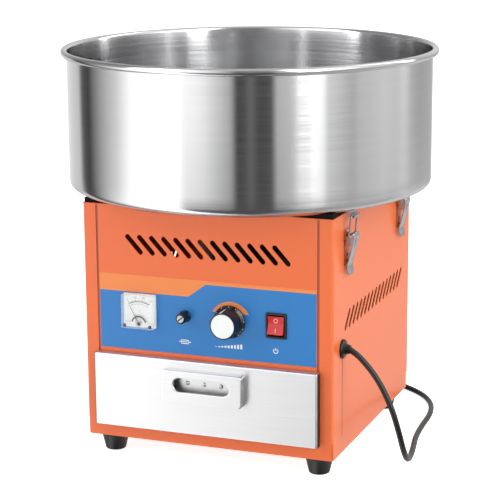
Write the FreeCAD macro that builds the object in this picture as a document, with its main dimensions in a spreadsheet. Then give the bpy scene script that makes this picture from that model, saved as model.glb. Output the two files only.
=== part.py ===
import FreeCAD, Part
import Sketcher
import math
import os
import re

# Electric candy floss machine with a drawer, millimetres.
# The bowl's axis stands on the origin, the floor is z = 0, the front faces -Y and the cord is at +X.

SIZES = {
    # how far cutters and joined blocks run past a face, and the half depth of a cut through a sheet
    "overlap": 1, "cut_reach": 5,
    # screws and their holes
    "screw_radius": 2.5, "screw_play": 0.2, "screw_head": 4.7, "screw_head_rise": 3, "screw_tail": 8,
    "nut_radius": 4.5, "nut_rise": 4, "rear_screw_head": 3.8, "rear_screw_rise": 2.4, "rear_screw_inset": 30,
    # rubber feet and pressed base tray
    "foot_height": 27, "foot_top_radius": 20, "foot_bottom_radius": 14.5, "foot_inset": 28,
    "foot_recess_radius": 6, "foot_recess_depth": 12, "foot_edge": 2, "tray_height": 23, "tray_corner": 5,
    # cabinet shell
    "body_width": 356, "body_depth": 356, "body_offset": 8, "cabinet_height": 302.3,
    "sheet_steel": 1.2, "seam_gap": 3.2, "wrap_width": 18.9, "wrap_lip": 10,
    "wrap_round": 2.5, "rear_flange": 14, "cord_slit": 2,
    # slanted vent slots, the same punch on the front and the sides
    "vent_pitch": 17.5, "vent_length": 34.5, "vent_width": 7, "vent_angle": 47.5,
    "front_vents": 13, "side_vents": 15, "front_vent_drop": 51.6, "front_vent_shift": 1.7,
    "side_vent_drop": 146, "side_vent_shift": 6,
    # bowl, its gasket and the opening for the spindle
    "gasket_height": 6.5, "gasket_width": 30, "gasket_inset": 2, "bowl_rim_radius": 260, "bowl_bead": 4.8,
    "bowl_height": 192.5, "bowl_sheet": 1.2, "bowl_corner": 10, "bowl_step": 3, "bowl_step_in": 15.6,
    "bowl_hole_radius": 48, "collar_height": 15.5, "top_hole_radius": 62,
    # toggle latches: places and sizes from the cabinet side and the latch's own middle
    "latch_inset": 55.5, "latch_width": 24, "latch_sheet": 1.5, "base_drop": 39, "base_height": 48,
    "pivot_out": 8, "pivot_drop": 38, "pin_radius": 2, "toggle_arm": 9, "toggle_angle": 10,
    "crossbar_out": 10, "crossbar_drop": 9.5, "wire_radius": 1.4, "wire_play": 0.3, "ear_gap": 0.3,
    "catch_sheet": 1.2, "catch_travel": 1.7, "catch_flange": 10,
    "lever_crown": 3.5, "lever_bend_drop": 37, "lever_tip_drop": 52, "lever_out": 5.7,
    "lever_bend_out": 5, "lever_tip_out": 7.5, "latch_play": 0.5,
    # control panel
    "label_thick": 0.3, "label_inset": 0.8, "label_bottom": 154.5, "label_height": 104,
    "panel_row": 206, "hole_play": 0.2, "meter_hole_play": 0.4,
    "meter_across": -95.2, "meter_up": 210.4, "meter_size": 46.6, "meter_case": 4, "meter_cover": 10,
    "meter_wall": 1.5, "meter_barrel_radius": 18.4, "meter_barrel_length": 32, "needle_length": 32,
    "dial_thick": 0.6, "dial_play": 0.3, "needle_drop": 17.5, "needle_half_sweep": 28.5, "needle_width": 0.9,
    "needle_thick": 0.5, "needle_back": 0.4, "needle_gap": 0.3, "needle_hub": 2.6, "needle_hub_rise": 2.5,
    "fuse_across": -30.4, "fuse_up": 207.6, "fuse_bezel_radius": 8.4, "fuse_bezel": 3,
    "fuse_barrel_radius": 6.2, "fuse_barrel_length": 38, "fuse_cap_radius": 7.7, "fuse_cap_tip_radius": 7,
    "fuse_cap_length": 13.5, "fuse_cap_gap": 0.3, "fuse_stem_wall": 1.2, "fuse_stem": 6, "fuse_slot_half": 0.8,
    "fuse_slot_depth": 1.5, "fuse_link_radius": 2.6, "fuse_link_length": 20, "fuse_bore_play": 0.4,
    "knob_across": 34, "skirt_radius": 22.4, "skirt_thick": 4.5, "knob_radius": 18, "knob_front": 28.3,
    "knob_face_radius": 16.4, "insert_thick": 1.4, "insert_back": 0.4, "skirt_edge": 1.5, "knob_flare": 0.8,
    "knob_floor": 4.7, "knob_room": 7, "knob_gap": 1.5, "shaft_radius": 3, "shaft_end": 5,
    "bushing_radius": 4.8, "bushing_tip": 5, "bushing_nut_wall": 2.6, "bushing_nut": 2.5, "bushing_room": 3.2,
    "regulator_radius": 19, "regulator_depth": 22,
    "switch_across": 99.6, "switch_width": 29.5, "switch_height": 35, "switch_bezel": 2.4,
    "switch_rim": 3.4, "switch_body_inset": 1.8, "switch_mouth": 12, "switch_depth": 26,
    "rocker_play": 0.35, "rocker_half": 12.2, "rocker_taper": 1.5, "rocker_back": 6, "rocker_rise": 7,
    "rocker_dip": 2.2, "rock_swing": 20, "rocker_sink": 2, "rocker_pin_radius": 1.5,
    # drawer
    "drawer_inset": 17.8, "drawer_bottom": 46.4, "drawer_face_height": 102.2, "drawer_proud": 13,
    "drawer_face_gap": 1.5, "tray_inset": 15.3, "tray_floor": 58, "tray_wall_height": 80, "tray_gap": 35.6,
    "tray_sheet": 1, "opening_play": 6, "rail_play": 0.4, "rail_gap": 0.3, "rail_rise": 12,
    "rail_ledge": 12, "rail_edge": 5, "rail_short": 8,
    "handle_across": 1.5, "handle_width": 115, "handle_height": 44, "handle_bottom": 94.3,
    "handle_depth": 14, "handle_sheet": 1.5, "handle_screw_radius": 3, "handle_screw_rise": 1.6,
    "handle_screw_pitch": 24, "grip_length": 80, "grip_height": 19.5, "grip_up": 24.6,
    "shelf_height": 151,
    # motor, spindle and brushes, all on the bowl's axis
    "spindle_radius": 6, "spindle_end": 6, "fit_play": 0.05, "motor_bottom": 218, "motor_height": 100,
    "motor_radius": 60, "motor_wall": 3, "bearing_radius": 14, "bearing_width": 8, "bearing_boss": 4,
    "rotor_play": 1.5, "rotor_stack": 60, "bracket_length": 210, "bracket_width": 140, "bracket_thick": 3,
    "bracket_play": 2, "damper_radius": 11, "damper_inset": 3, "brush_tower": 28, "ring_radius": 17,
    "ring_wall": 3, "ring_width": 7, "ring_pitch": 13, "bush_gap": 1, "brush_play": 0.3, "brush_size": 6,
    "brush_length": 22, "brush_block": 24, "brush_gap": 4,
    # spinner head in the bowl
    "head_lift": 63.5, "head_radius": 70, "head_plate": 5, "screen_height": 38, "screen_thick": 1,
    "screen_inset": 3, "screen_slots": 36, "screen_slot": 3, "screen_margin": 6, "cap_rise": 6, "cap_edge": 2,
    "funnel_radius": 27, "funnel_wall": 1.5, "funnel_height": 10, "funnel_flare": 3, "heater_radius": 57,
    "heater_tube": 3.5, "heater_lift": 14, "heater_legs": 3, "heater_leg_radius": 2.4, "hub_radius": 14,
    "hub_drop": 10, "head_bolt_play": 0.1, "head_bolt_radius": 2, "head_bolt_head": 3, "head_bolts": 3,
    "head_bolt_circle": 42,
    # strain relief, cord and plug
    "gland_back": 39, "gland_up": 171.5, "gland_flange_radius": 13, "gland_flange": 4.5, "gland_nose": 12,
    "gland_inside": 9, "gland_neck_radius": 7.6, "gland_tip_radius": 6.4, "gland_groove": 1.4, "gland_lead": 1,
    "gland_edge": 1.8, "gland_round": 1.6, "gland_shoulder": 3.6, "gland_crown": 4, "gland_root": 0.6,
    "cord_radius": 4, "coil_across": 70, "coil_back": 262, "coil_radius": 44, "coil_height": 15,
    "plug_tail": 38, "plug_socket": 14, "plug_up": 13.2, "plug_radius": 13, "plug_neck_radius": 6,
    "plug_shoulder_radius": 9.8, "plug_length": 42, "plug_nose": 12, "plug_pin_spacing": 19,
    "plug_pin_radius": 2.4, "plug_pin_length": 21, "plug_pin_root": 2,
    # electrics on the shelf
    "board_inset": 28, "board_near": 98.8, "board_length": 90, "board_width": 60, "board_thick": 1.6,
    "board_lift": 6, "board_margin": 6, "sink_length": 46, "sink_height": 28, "sink_fin": 2.5, "sink_gaps": 5,
    "terminal_inset": 68, "terminal_near": 110, "terminal_width": 18, "terminal_length": 50,
    "terminal_height": 16,
}

# Heights and faces that many pieces share, written with the sizes above.
FRONT = "(body_offset - body_depth/2)"
BACK = "(body_offset + body_depth/2)"
SIDE = "(body_width/2)"
TRAY_TOP = "(foot_height + tray_height)"
WALL_TOP = f"({TRAY_TOP} + cabinet_height)"
TOP = f"({WALL_TOP} + sheet_steel)"
BOWL_BASE = f"({TOP} + gasket_height)"
PIVOT_HEIGHT = f"({BOWL_BASE} - pivot_drop)"
CROSSBAR_HEIGHT = f"({BOWL_BASE} - crossbar_drop)"
PANEL_HALF = f"({SIDE} - wrap_width - seam_gap)"
LABEL_FACE = f"({FRONT} - label_thick)"
LABEL_HALF = f"({PANEL_HALF} - label_inset)"
TRAY_HALF = f"({PANEL_HALF} - tray_inset)"
DRAWER_HALF = f"({SIDE} - drawer_inset)"
DRAWER_FACE = f"({FRONT} - drawer_proud)"

doc = FreeCAD.newDocument("CandyFlossMachine")
sheet = doc.addObject("Spreadsheet::Sheet", "Sizes")
for row, (alias, size) in enumerate(SIZES.items(), start=1):
    sheet.set(f"A{row}", alias)
    sheet.set(f"B{row}", str(size))
    sheet.setAlias(f"B{row}", alias)
doc.recompute()

PLANES = {"XY": "XY_Plane", "XZ": "XZ_Plane", "YZ": "YZ_Plane"}
AXES = {
    "x": FreeCAD.Rotation(FreeCAD.Vector(0, 1, 0), 90),
    "-x": FreeCAD.Rotation(FreeCAD.Vector(0, 1, 0), -90),
    "y": FreeCAD.Rotation(FreeCAD.Vector(1, 0, 0), -90),
    "-y": FreeCAD.Rotation(FreeCAD.Vector(1, 0, 0), 90),
    "z": FreeCAD.Rotation(),
}
parts = {}
HAIR = 0.000001


def ref(text):
    """Turn each size's name in an expression into a reference to the sheet."""
    return re.sub(r"[a-z_]{3,}", lambda m: "Sizes." + m[0] if m[0] in SIZES else m[0], str(text))


def value(text):
    return float(sheet.evalExpression(ref(text)))


def bind(thing, **sizes):
    for name, text in sizes.items():
        thing.setExpression(name.replace("__", "."), ref(text))
    return thing


def place(thing, x="0", y="0", z="0", axis="z"):
    thing.Placement = FreeCAD.Placement(FreeCAD.Vector(), AXES[axis])
    return bind(thing, Placement__Base__x=x, Placement__Base__y=y, Placement__Base__z=z)


def part(name, thing):
    """Keep a finished sub-part under its node name."""
    thing.Label = name
    parts[name] = thing
    return thing


def box(name, corner, size):
    solid = doc.addObject("Part::Box", name)
    bind(solid, Length=size[0], Width=size[1], Height=size[2])
    return place(solid, *corner)


def slab(name, x, y, z):
    """A box between two values on each axis."""
    spans = [f"({high}) - ({low})" for low, high in (x, y, z)]
    return box(name, (x[0], y[0], z[0]), spans)


def rod(name, start, radius, length, axis="z"):
    solid = doc.addObject("Part::Cylinder", name)
    bind(solid, Radius=radius, Height=length)
    return place(solid, *start, axis=axis)


def taper(name, start, radius, far_radius, length, axis="z"):
    solid = doc.addObject("Part::Cone", name)
    bind(solid, Radius1=radius, Radius2=far_radius, Height=length)
    return place(solid, *start, axis=axis)


def fuse(name, *solids):
    whole = doc.addObject("Part::MultiFuse", name)
    whole.Shapes = list(solids)
    return whole


def cut(name, base, *tools):
    whole = doc.addObject("Part::Cut", name)
    whole.Base = base
    whole.Tool = tools[0] if len(tools) == 1 else fuse(name + "_tools", *tools)
    return whole


def group(name, *solids):
    whole = doc.addObject("Part::Compound", name)
    whole.Links = list(solids)
    return whole


def mirrored(name, solid):
    """The same piece on the other side of the machine."""
    twin = doc.addObject("Part::Mirroring", name)
    twin.Source = solid
    twin.Normal = FreeCAD.Vector(1, 0, 0)
    return twin


def new_body(name):
    return doc.addObject("PartDesign::Body", name)


def outline(body, plane, points, lift="0"):
    """A closed sketch through points whose two coordinates are expressions."""
    sketch = body.newObject("Sketcher::SketchObject", body.Name + "_outline")
    origin_plane = [f for f in body.Origin.OriginFeatures if f.Role == PLANES[plane]][0]
    sketch.AttachmentSupport = [(origin_plane, "")]
    sketch.MapMode = "FlatFace"
    bind(sketch, AttachmentOffset__Base__z=lift)
    corners = [FreeCAD.Vector(value(u), value(v), 0) for u, v in points]
    count = len(corners)
    for i in range(count):
        sketch.addGeometry(Part.LineSegment(corners[i], corners[(i + 1) % count]), False)
    for i in range(count):
        sketch.addConstraint(Sketcher.Constraint("Coincident", i, 2, (i + 1) % count, 1))
    for i, point in enumerate(points):
        for kind, name, text, start in zip(("DistanceX", "DistanceY"), "uv", point, corners[i]):
            number = sketch.addConstraint(Sketcher.Constraint(kind, -1, 1, i, 1, start))
            sketch.renameConstraint(number, f"{name}{i}")
            sketch.setExpression(f"Constraints.{name}{i}", ref(text))
    return sketch


def pad(body, plane, points, length, lift="0", symmetric=False):
    feature = body.newObject("PartDesign::Pad", body.Name + "_pad")
    feature.Profile = outline(body, plane, points, lift)
    feature.SideType = "Symmetric" if symmetric else "One side"
    return bind(feature, Length=length)


def pocket(body, plane, points, length, lift="0"):
    """A cut to both sides of the sketch, half the length each way."""
    feature = body.newObject("PartDesign::Pocket", body.Name + "_pocket")
    feature.Profile = outline(body, plane, points, lift)
    feature.SideType = "Symmetric"
    return bind(feature, Length=length)


def turned(name, points):
    """A solid of revolution about Z from (radius, height) points."""
    body = new_body(name)
    feature = body.newObject("PartDesign::Revolution", name + "_turn")
    feature.Profile = outline(body, "XZ", points)
    feature.ReferenceAxis = (feature.Profile[0], ["V_Axis"])
    feature.Angle = 360
    return body


def round_edges(body, base, chosen, radius):
    doc.recompute()
    fillet = body.newObject("PartDesign::Fillet", body.Name + "_fillet")
    names = [f"Edge{i}" for i, edge in enumerate(base.Shape.Edges, start=1) if chosen(edge)]
    fillet.Base = (base, names)
    return bind(fillet, Radius=radius)


def is_upright(edge):
    low, high = edge.BoundBox.ZMin, edge.BoundBox.ZMax
    return edge.Length > 1 and abs(high - low - edge.Length) < HAIR


def rectangle(u, v):
    return [(u[0], v[0]), (u[1], v[0]), (u[1], v[1]), (u[0], v[1])]


# ---------------------------------------------------------------- base, feet and shell

FEET = [(f"{s}*({SIDE} - foot_inset)", f"body_offset + {t}*(body_depth/2 - foot_inset)")
        for s in (-1, 1) for t in (-1, 1)]
SCREW_HOLE = "(screw_radius + screw_play)"


def base_tray():
    """Open tray pressed from sheet, with rounded upright corners and four foot holes."""
    body = new_body("tray_pan")
    shell = pad(body, "XY", rectangle((f"-{SIDE}", SIDE), (FRONT, BACK)), "tray_height", "foot_height")
    body.Tip = round_edges(body, shell, is_upright, "tray_corner")
    inside = slab("tray_inside", (f"-{SIDE} + sheet_steel", f"{SIDE} - sheet_steel"),
                  (f"{FRONT} + sheet_steel", f"{BACK} - sheet_steel"), ("foot_height + sheet_steel", TRAY_TOP))
    holes = [rod("tray_hole", (x, y, "foot_height - overlap"), SCREW_HOLE, "sheet_steel + 2*overlap")
             for x, y in FEET]
    part("base_tray", cut("base_tray", body, inside, *holes))


def rubber_feet():
    profile = [("foot_recess_radius", "0"), ("foot_bottom_radius - foot_edge", "0"),
               ("foot_bottom_radius", "foot_edge"), ("foot_top_radius", "foot_height"),
               (SCREW_HOLE, "foot_height"), (SCREW_HOLE, "foot_recess_depth"),
               ("foot_recess_radius", "foot_recess_depth")]
    feet = [place(turned("foot", profile), x, y) for x, y in FEET]
    part("rubber_feet", group("rubber_feet", *feet))


def cabinet_screws():
    """Foot screws with their nuts, and the four screws that hold the rear panel."""
    start = "(foot_recess_depth - screw_head_rise)"
    seat = "(foot_height + 2*sheet_steel)"
    pieces = []
    for x, y in FEET:
        head = rod("foot_screw_head", (x, y, start), "screw_head", "screw_head_rise")
        shank = rod("foot_screw_shank", (x, y, start), "screw_radius", f"foot_height + screw_tail - {start}")
        pieces.append(fuse("foot_screw", head, shank))
        ring = rod("foot_nut_blank", (x, y, seat), "nut_radius", "nut_rise")
        bore = rod("foot_nut_bore", (x, y, f"{seat} - overlap"), "screw_radius", "nut_rise + 2*overlap")
        pieces.append(cut("foot_nut", ring, bore))
    for side in (-1, 1):
        for height in (f"{TRAY_TOP} + rear_screw_inset", f"{WALL_TOP} - rear_screw_inset"):
            across = f"{side}*({SIDE} - rear_flange/2)"
            pieces.append(rod("rear_screw", (across, BACK, height), "rear_screw_head", "rear_screw_rise", "y"))
    part("cabinet_screws", group("cabinet_screws", *pieces))


def vent_row(body, plane, middle, height, count, lift, lean):
    """One slanted round-ended slot and the row of its copies; lean is -1 or 1, the way its top points."""
    half, reach = "(vent_width/2)", "((vent_length - vent_width)/2)"
    u = f"({middle} - vent_pitch*({count} - 1)/2)"
    corners = []
    for end, back in ((1, 0), (-1, 180)):
        for step in range(-90, 91, 36):
            turn, slant = f"((vent_angle + {back + step}) * 1 deg)", "(vent_angle * 1 deg)"
            corners.append((f"{u} + {lean}*({end}*{reach}*cos({slant}) + {half}*cos({turn}))",
                            f"{height} + {end}*{reach}*sin({slant}) + {half}*sin({turn})"))
    slot = pocket(body, plane, corners, "2*cut_reach", lift)
    pattern = body.newObject("PartDesign::LinearPattern", body.Name + "_row")
    pattern.Originals = [slot]
    pattern.Direction = (slot.Profile[0], ["H_Axis"])
    pattern.Mode = "Spacing"
    bind(pattern, Offset="vent_pitch", Occurrences=count)
    body.Tip = pattern


def control_cutters(kind):
    """The holes that the panel and the label share, one for each control."""
    near, far = f"{FRONT} - cut_reach", f"{FRONT} + cut_reach"
    row = [("meter_across", "meter_up", "meter_barrel_radius + meter_hole_play"),
           ("fuse_across", "fuse_up", "fuse_barrel_radius + hole_play"),
           ("knob_across", "panel_row", "bushing_radius + hole_play")]
    tools = [rod(f"{kind}_hole", (x, far, z), radius, "2*cut_reach", "-y") for x, z, radius in row]
    tools.append(slab(f"{kind}_switch_hole", switch_span("switch_body_inset"), (near, far),
                      switch_rise("switch_body_inset")))
    return tools


def switch_span(inset):
    return (f"switch_across - switch_width/2 + ({inset})", f"switch_across + switch_width/2 - ({inset})")


def switch_rise(inset):
    return (f"panel_row - switch_height/2 + ({inset})", f"panel_row + switch_height/2 - ({inset})")


def front_panel():
    body = new_body("front_sheet")
    lift = f"-({FRONT} + sheet_steel)"
    pad(body, "XZ", rectangle((f"-{PANEL_HALF}", PANEL_HALF), (TRAY_TOP, WALL_TOP)), "sheet_steel", lift)
    vent_row(body, "XZ", "front_vent_shift", f"{WALL_TOP} - front_vent_drop", "front_vents", lift, -1)
    mouth = slab("drawer_mouth", (f"-{TRAY_HALF} - opening_play", f"{TRAY_HALF} + opening_play"),
                 (f"{FRONT} - cut_reach", f"{FRONT} + cut_reach"),
                 ("tray_floor - opening_play", "tray_floor + tray_wall_height + opening_play"))
    part("front_panel", cut("front_panel", body, mouth, *control_cutters("panel")))


def control_label():
    blank = box("label_blank", (f"-{LABEL_HALF}", LABEL_FACE, "label_bottom"),
                (f"2*{LABEL_HALF}", "label_thick", "label_height"))
    part("control_label", cut("control_label", blank, *control_cutters("label")))


def side_profile():
    """Side panel seen from above: front strip with its set-back lip, bent corner, side and rear flange."""
    inner, deep = f"({SIDE} - sheet_steel)", f"({FRONT} + 2*sheet_steel)"
    behind, lip = f"({FRONT} + sheet_steel)", f"({SIDE} - wrap_width - wrap_lip)"
    flange, flange_front = f"({SIDE} - rear_flange)", f"({BACK} - sheet_steel)"
    edge = f"{SIDE} - wrap_width"
    return [(edge, FRONT), (f"{SIDE} - wrap_round", FRONT), (SIDE, f"{FRONT} + wrap_round"), (SIDE, BACK),
            (flange, BACK), (flange, flange_front), (inner, flange_front), (inner, deep), (lip, deep),
            (lip, behind), (edge, behind)]


def side_sheet(name):
    """One sheet bent round the front corner, with slanted vents in the side."""
    body = new_body(name)
    pad(body, "XY", side_profile(), "cabinet_height", TRAY_TOP)
    lift = f"{SIDE} - sheet_steel"
    middle = "(body_offset + side_vent_shift)"
    vent_row(body, "YZ", middle, f"{WALL_TOP} - side_vent_drop", "side_vents", lift, 1)
    return body


def side_panels():
    """The right panel has the strain relief's hole and, below it, a slit that lets it off over the cord."""
    back = f"({FRONT} + gland_back)"
    near, far = f"{SIDE} - cut_reach", f"{SIDE} + cut_reach"
    hole = rod("gland_hole", (near, back, "gland_up"), GLAND_HOLE, "2*cut_reach", "x")
    slit = slab("gland_slit", (near, far), (f"{back} - cord_slit/2", f"{back} + cord_slit/2"),
                (f"{TRAY_TOP} - overlap", "gland_up"))
    part("right_side_panel", cut("right_side_panel", side_sheet("right_sheet"), hole, slit))
    part("left_side_panel", mirrored("left_side_panel", side_sheet("left_sheet")))


def rear_panel():
    body = new_body("rear_sheet")
    half = f"({SIDE} - sheet_steel)"
    lift = f"-({BACK} - sheet_steel)"
    pad(body, "XZ", rectangle((f"-{half}", half), (TRAY_TOP, WALL_TOP)), "sheet_steel", lift)
    vent_row(body, "XZ", "0", f"{WALL_TOP} - front_vent_drop", "front_vents", lift, 1)
    part("rear_panel", body)


def top_plate():
    plate = box("top_sheet", (f"-{SIDE}", FRONT, WALL_TOP), ("body_width", "body_depth", "sheet_steel"))
    hole = rod("top_hole", ("0", "0", f"{WALL_TOP} - cut_reach"), "top_hole_radius", "2*cut_reach")
    part("top_plate", cut("top_plate", plate, hole))


# ---------------------------------------------------------------- bowl, gasket and latches

def bowl_gasket():
    outer, inner = [((f"-{SIDE} + {inset}", f"{SIDE} - {inset}"), (f"{FRONT} + {inset}", f"{BACK} - {inset}"))
                    for inset in ("gasket_inset", "(gasket_inset + gasket_width)")]
    ring = slab("gasket_blank", *outer, (TOP, BOWL_BASE))
    hole = slab("gasket_inside", *inner, (f"{TOP} - overlap", f"{BOWL_BASE} + overlap"))
    part("bowl_gasket", cut("bowl_gasket", ring, hole))


def rim_edge(radius, height):
    """A test for the circular edge of this radius at this height."""
    def test(edge):
        box_of = edge.BoundBox
        level = max(abs(box_of.ZMin - height), abs(box_of.ZMax - height)) < HAIR
        return level and abs(box_of.XMax - radius) < HAIR
    return test


def bowl():
    """Spun bowl: collar round the spindle, flat floor, step, rounded corner, wall and rolled rim."""
    base, thick = BOWL_BASE, "bowl_sheet"
    bead_radius = "(bowl_rim_radius - bowl_bead)"
    bead_height = f"({base} + bowl_height - bowl_bead)"
    wall = f"({bead_radius} - bowl_bead + bowl_sheet)"
    inner = f"({wall} - {thick})"
    shelf, floor = f"({base} + bowl_step)", f"({base} + {thick})"
    step, slope = f"({wall} - bowl_step_in)", f"0.4*{thick}"
    collar, collar_top = f"(bowl_hole_radius + {thick})", f"({base} + collar_height)"
    profile = [("bowl_hole_radius", base), (step, base), (f"{step} + bowl_step", shelf), (wall, shelf),
               (wall, bead_height), (inner, bead_height), (inner, f"{shelf} + {thick}"),
               (f"{step} + bowl_step - {slope}", f"{shelf} + {thick}"), (f"{step} - {slope}", floor),
               (collar, floor), (collar, collar_top), ("bowl_hole_radius", collar_top)]
    body = turned("bowl_shell", profile)
    doc.recompute()
    outside = round_edges(body, body.Tip, rim_edge(value(wall), value(shelf)), "bowl_corner")
    body.Tip = outside
    body.Tip = round_edges(body, outside, rim_edge(value(inner), value(f"{shelf} + {thick}")),
                           f"bowl_corner - {thick}")
    bead = doc.addObject("Part::Torus", "rolled_rim")
    bind(bead, Radius1=bead_radius, Radius2="bowl_bead")
    place(bead, z=bead_height)
    part("bowl", fuse("bowl", body, bead))


# A latch is built at the right side of the cabinet, its own frame's X pointing out of the side.
# The left ones are the same pieces turned half round the cabinet's middle.
LATCH_ENDS = (("front", f"{FRONT} + latch_inset"), ("rear", f"{BACK} - latch_inset"))
LATCHES = [(f"{end}_{hand}", turn, f"{1 - 2*turn}*{SIDE}", y)
           for turn, hand in enumerate(("right", "left")) for end, y in LATCH_ENDS]
HALF_LATCH = "(latch_width/2)"
TOGGLE_OUT = "(pivot_out - toggle_arm*sin(toggle_angle * 1 deg))"
TOGGLE_UP = f"({PIVOT_HEIGHT} - toggle_arm*cos(toggle_angle * 1 deg))"
HOOK_REACH = "(wire_radius + latch_play + latch_sheet)"


def latch_place(thing, turn, x, y):
    thing.Placement = FreeCAD.Placement(FreeCAD.Vector(), FreeCAD.Rotation(FreeCAD.Vector(0, 0, 1), 180*turn))
    return bind(thing, Placement__Base__x=x, Placement__Base__y=y)


def catch_profile():
    """Hook hung from the bowl's underside: flange, leg, trough for the bail and its lip."""
    bar, top, thick = "crossbar_out", BOWL_BASE, "catch_sheet"
    leg = f"({bar} - wire_radius - wire_play)"
    lip = f"({bar} + wire_radius + wire_play + catch_travel)"
    trough = f"({CROSSBAR_HEIGHT} - wire_radius - wire_play)"
    lip_top = f"({CROSSBAR_HEIGHT} + 0.7*wire_radius)"
    return [(f"{leg} - catch_flange", top), (leg, top), (leg, trough), (lip, trough), (lip, lip_top),
            (f"{lip} + {thick}", lip_top), (f"{lip} + {thick}", f"{trough} - {thick}"),
            (f"{leg} - {thick}", f"{trough} - {thick}"), (f"{leg} - {thick}", f"{top} - {thick}"),
            (f"{leg} - catch_flange", f"{top} - {thick}")]


def bowl_catches():
    pieces = []
    for name, turn, x, y in LATCHES:
        body = new_body("catch_" + name)
        pad(body, "XZ", catch_profile(), "latch_width - 2*latch_play", symmetric=True)
        pieces.append(latch_place(body, turn, x, y))
    part("bowl_catches", group("bowl_catches", *pieces))


def latch_bases():
    """Riveted base plate with two ears and the pin that the lever turns on."""
    ear_half = f"({HALF_LATCH} - latch_sheet - latch_play)"
    foot = f"({PIVOT_HEIGHT} - base_drop)"
    boss = "(lever_out - latch_sheet - 0.8*latch_play)"
    pieces = []
    for name, turn, x, y in LATCHES:
        plate = slab("latch_plate", ("0", "latch_sheet"), (f"-{ear_half}", ear_half),
                     (foot, f"{foot} + base_height"))
        blank = slab("latch_ears", ("0", "pivot_out"), (f"-{ear_half}", ear_half),
                     (f"{PIVOT_HEIGHT} - {boss}", f"{PIVOT_HEIGHT} + {boss}"))
        tip = rod("latch_ear_tip", ("pivot_out", f"-{ear_half}", PIVOT_HEIGHT), boss, f"2*{ear_half}", "y")
        between = slab("latch_ear_gap", ("latch_sheet", "3*pivot_out"),
                       (f"-{ear_half} + latch_sheet", f"{ear_half} - latch_sheet"),
                       (f"{PIVOT_HEIGHT} - 3*pivot_out", f"{PIVOT_HEIGHT} + 3*pivot_out"))
        ears = cut("latch_channel", fuse("latch_ear_blank", blank, tip), between)
        frame = fuse("latch_frame", plate, ears)
        pin = rod("latch_pin", ("pivot_out", f"-{HALF_LATCH} - ear_gap", PIVOT_HEIGHT), "pin_radius",
                  "latch_width + 2*ear_gap", "y")
        pieces.append(latch_place(fuse("latch_base_" + name, frame, pin), turn, x, y))
    part("latch_bases", group("latch_bases", *pieces))


def lever_outline():
    """The pressed strap in side view: crown above the pin, straight fall to the bend, flared tip."""
    crown, shoulder = f"({PIVOT_HEIGHT} + lever_crown)", f"({PIVOT_HEIGHT} - lever_crown)"
    bend, tip = f"({PIVOT_HEIGHT} - lever_bend_drop)", f"({PIVOT_HEIGHT} - lever_tip_drop)"
    out, thick = "(pivot_out + lever_out)", "latch_sheet"
    return [(out, crown), (f"{out} - {thick}", crown), (f"{out} - {thick}", shoulder),
            (f"lever_bend_out - {thick}", bend), (f"lever_tip_out - {thick}", tip), ("lever_tip_out", tip),
            ("lever_bend_out", bend), (out, shoulder)]


def lever_ear():
    """Cheek of the lever: it carries the pin and, below it, the bail's hooked end."""
    out, rim = "(pivot_out + lever_out - latch_sheet)", "(wire_radius + latch_sheet)"
    crown, low = f"({PIVOT_HEIGHT} + lever_crown)", f"({TOGGLE_UP} - 1.2*{rim})"
    return [("pivot_out - lever_crown", crown), (out, crown), (out, f"{PIVOT_HEIGHT} - 2*lever_crown"),
            (f"{TOGGLE_OUT} + {rim}", low), (f"{TOGGLE_OUT} - {rim}", low),
            (f"{TOGGLE_OUT} - 1.1*{rim}", f"{TOGGLE_UP} + {rim}")]


def latch_lever(name, turn, x, y):
    strap, ears = new_body("strap_" + name), new_body("ears_" + name)
    pad(strap, "XZ", lever_outline(), "latch_width", symmetric=True)
    pad(ears, "XZ", lever_ear(), "latch_width", symmetric=True)
    inside = f"({HALF_LATCH} - latch_sheet)"
    gap = slab("lever_gap", ("0", "2*pivot_out"), (f"-{inside}", inside),
               (f"{PIVOT_HEIGHT} - 4*pivot_out", f"{PIVOT_HEIGHT} + 4*pivot_out"))
    across = ("latch_width*2", "y")
    pivot = rod("lever_pivot_hole", ("pivot_out", "-latch_width", PIVOT_HEIGHT), "pin_radius + fit_play",
                *across)
    hook = rod("lever_hook_hole", (TOGGLE_OUT, "-latch_width", TOGGLE_UP), "wire_radius + fit_play", *across)
    lever = cut("lever_" + name, fuse("lever_blank", strap, cut("lever_ears", ears, gap)), pivot, hook)
    part("latch_lever_" + name, latch_place(lever, turn, x, y))


def latch_bail(name, turn, x, y):
    """Wire bail: two hooked ends in the lever, two legs and the crossbar in the catch."""
    lean_out, rise = f"(crossbar_out - {TOGGLE_OUT})", f"({CROSSBAR_HEIGHT} - {TOGGLE_UP})"
    leg = f"sqrt({lean_out}^2 + {rise}^2)"
    half = f"({HALF_LATCH} + latch_play + wire_radius)"
    pieces = []
    for side, start in ((f"-{half}", f"-{half}"), (half, f"{half} - {HOOK_REACH}")):
        pieces.append(rod("bail_hook", ("0", start, "0"), "wire_radius", HOOK_REACH, "y"))
        pieces.append(rod("bail_leg", ("0", side, "0"), "wire_radius", leg))
        for height in ("0", leg):
            bend = doc.addObject("Part::Sphere", "bail_bend")
            bind(bend, Radius="wire_radius")
            pieces.append(place(bend, "0", side, height))
    pieces.append(rod("bail_crossbar", ("0", f"-{half}", leg), "wire_radius", f"2*{half}", "y"))
    upright = fuse("bail_wire", *pieces)
    lean = FreeCAD.Rotation(FreeCAD.Vector(0, 1, 0), math.degrees(math.atan2(value(lean_out), value(rise))))
    upright.Placement = FreeCAD.Placement(FreeCAD.Vector(), lean)
    bind(upright, Placement__Rotation__Angle=f"atan({lean_out}/{rise})", Placement__Base__x=TOGGLE_OUT,
         Placement__Base__z=TOGGLE_UP)
    part("latch_bail_" + name, latch_place(group("bail_" + name, upright), turn, x, y))


# ---------------------------------------------------------------- control panel

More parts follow.
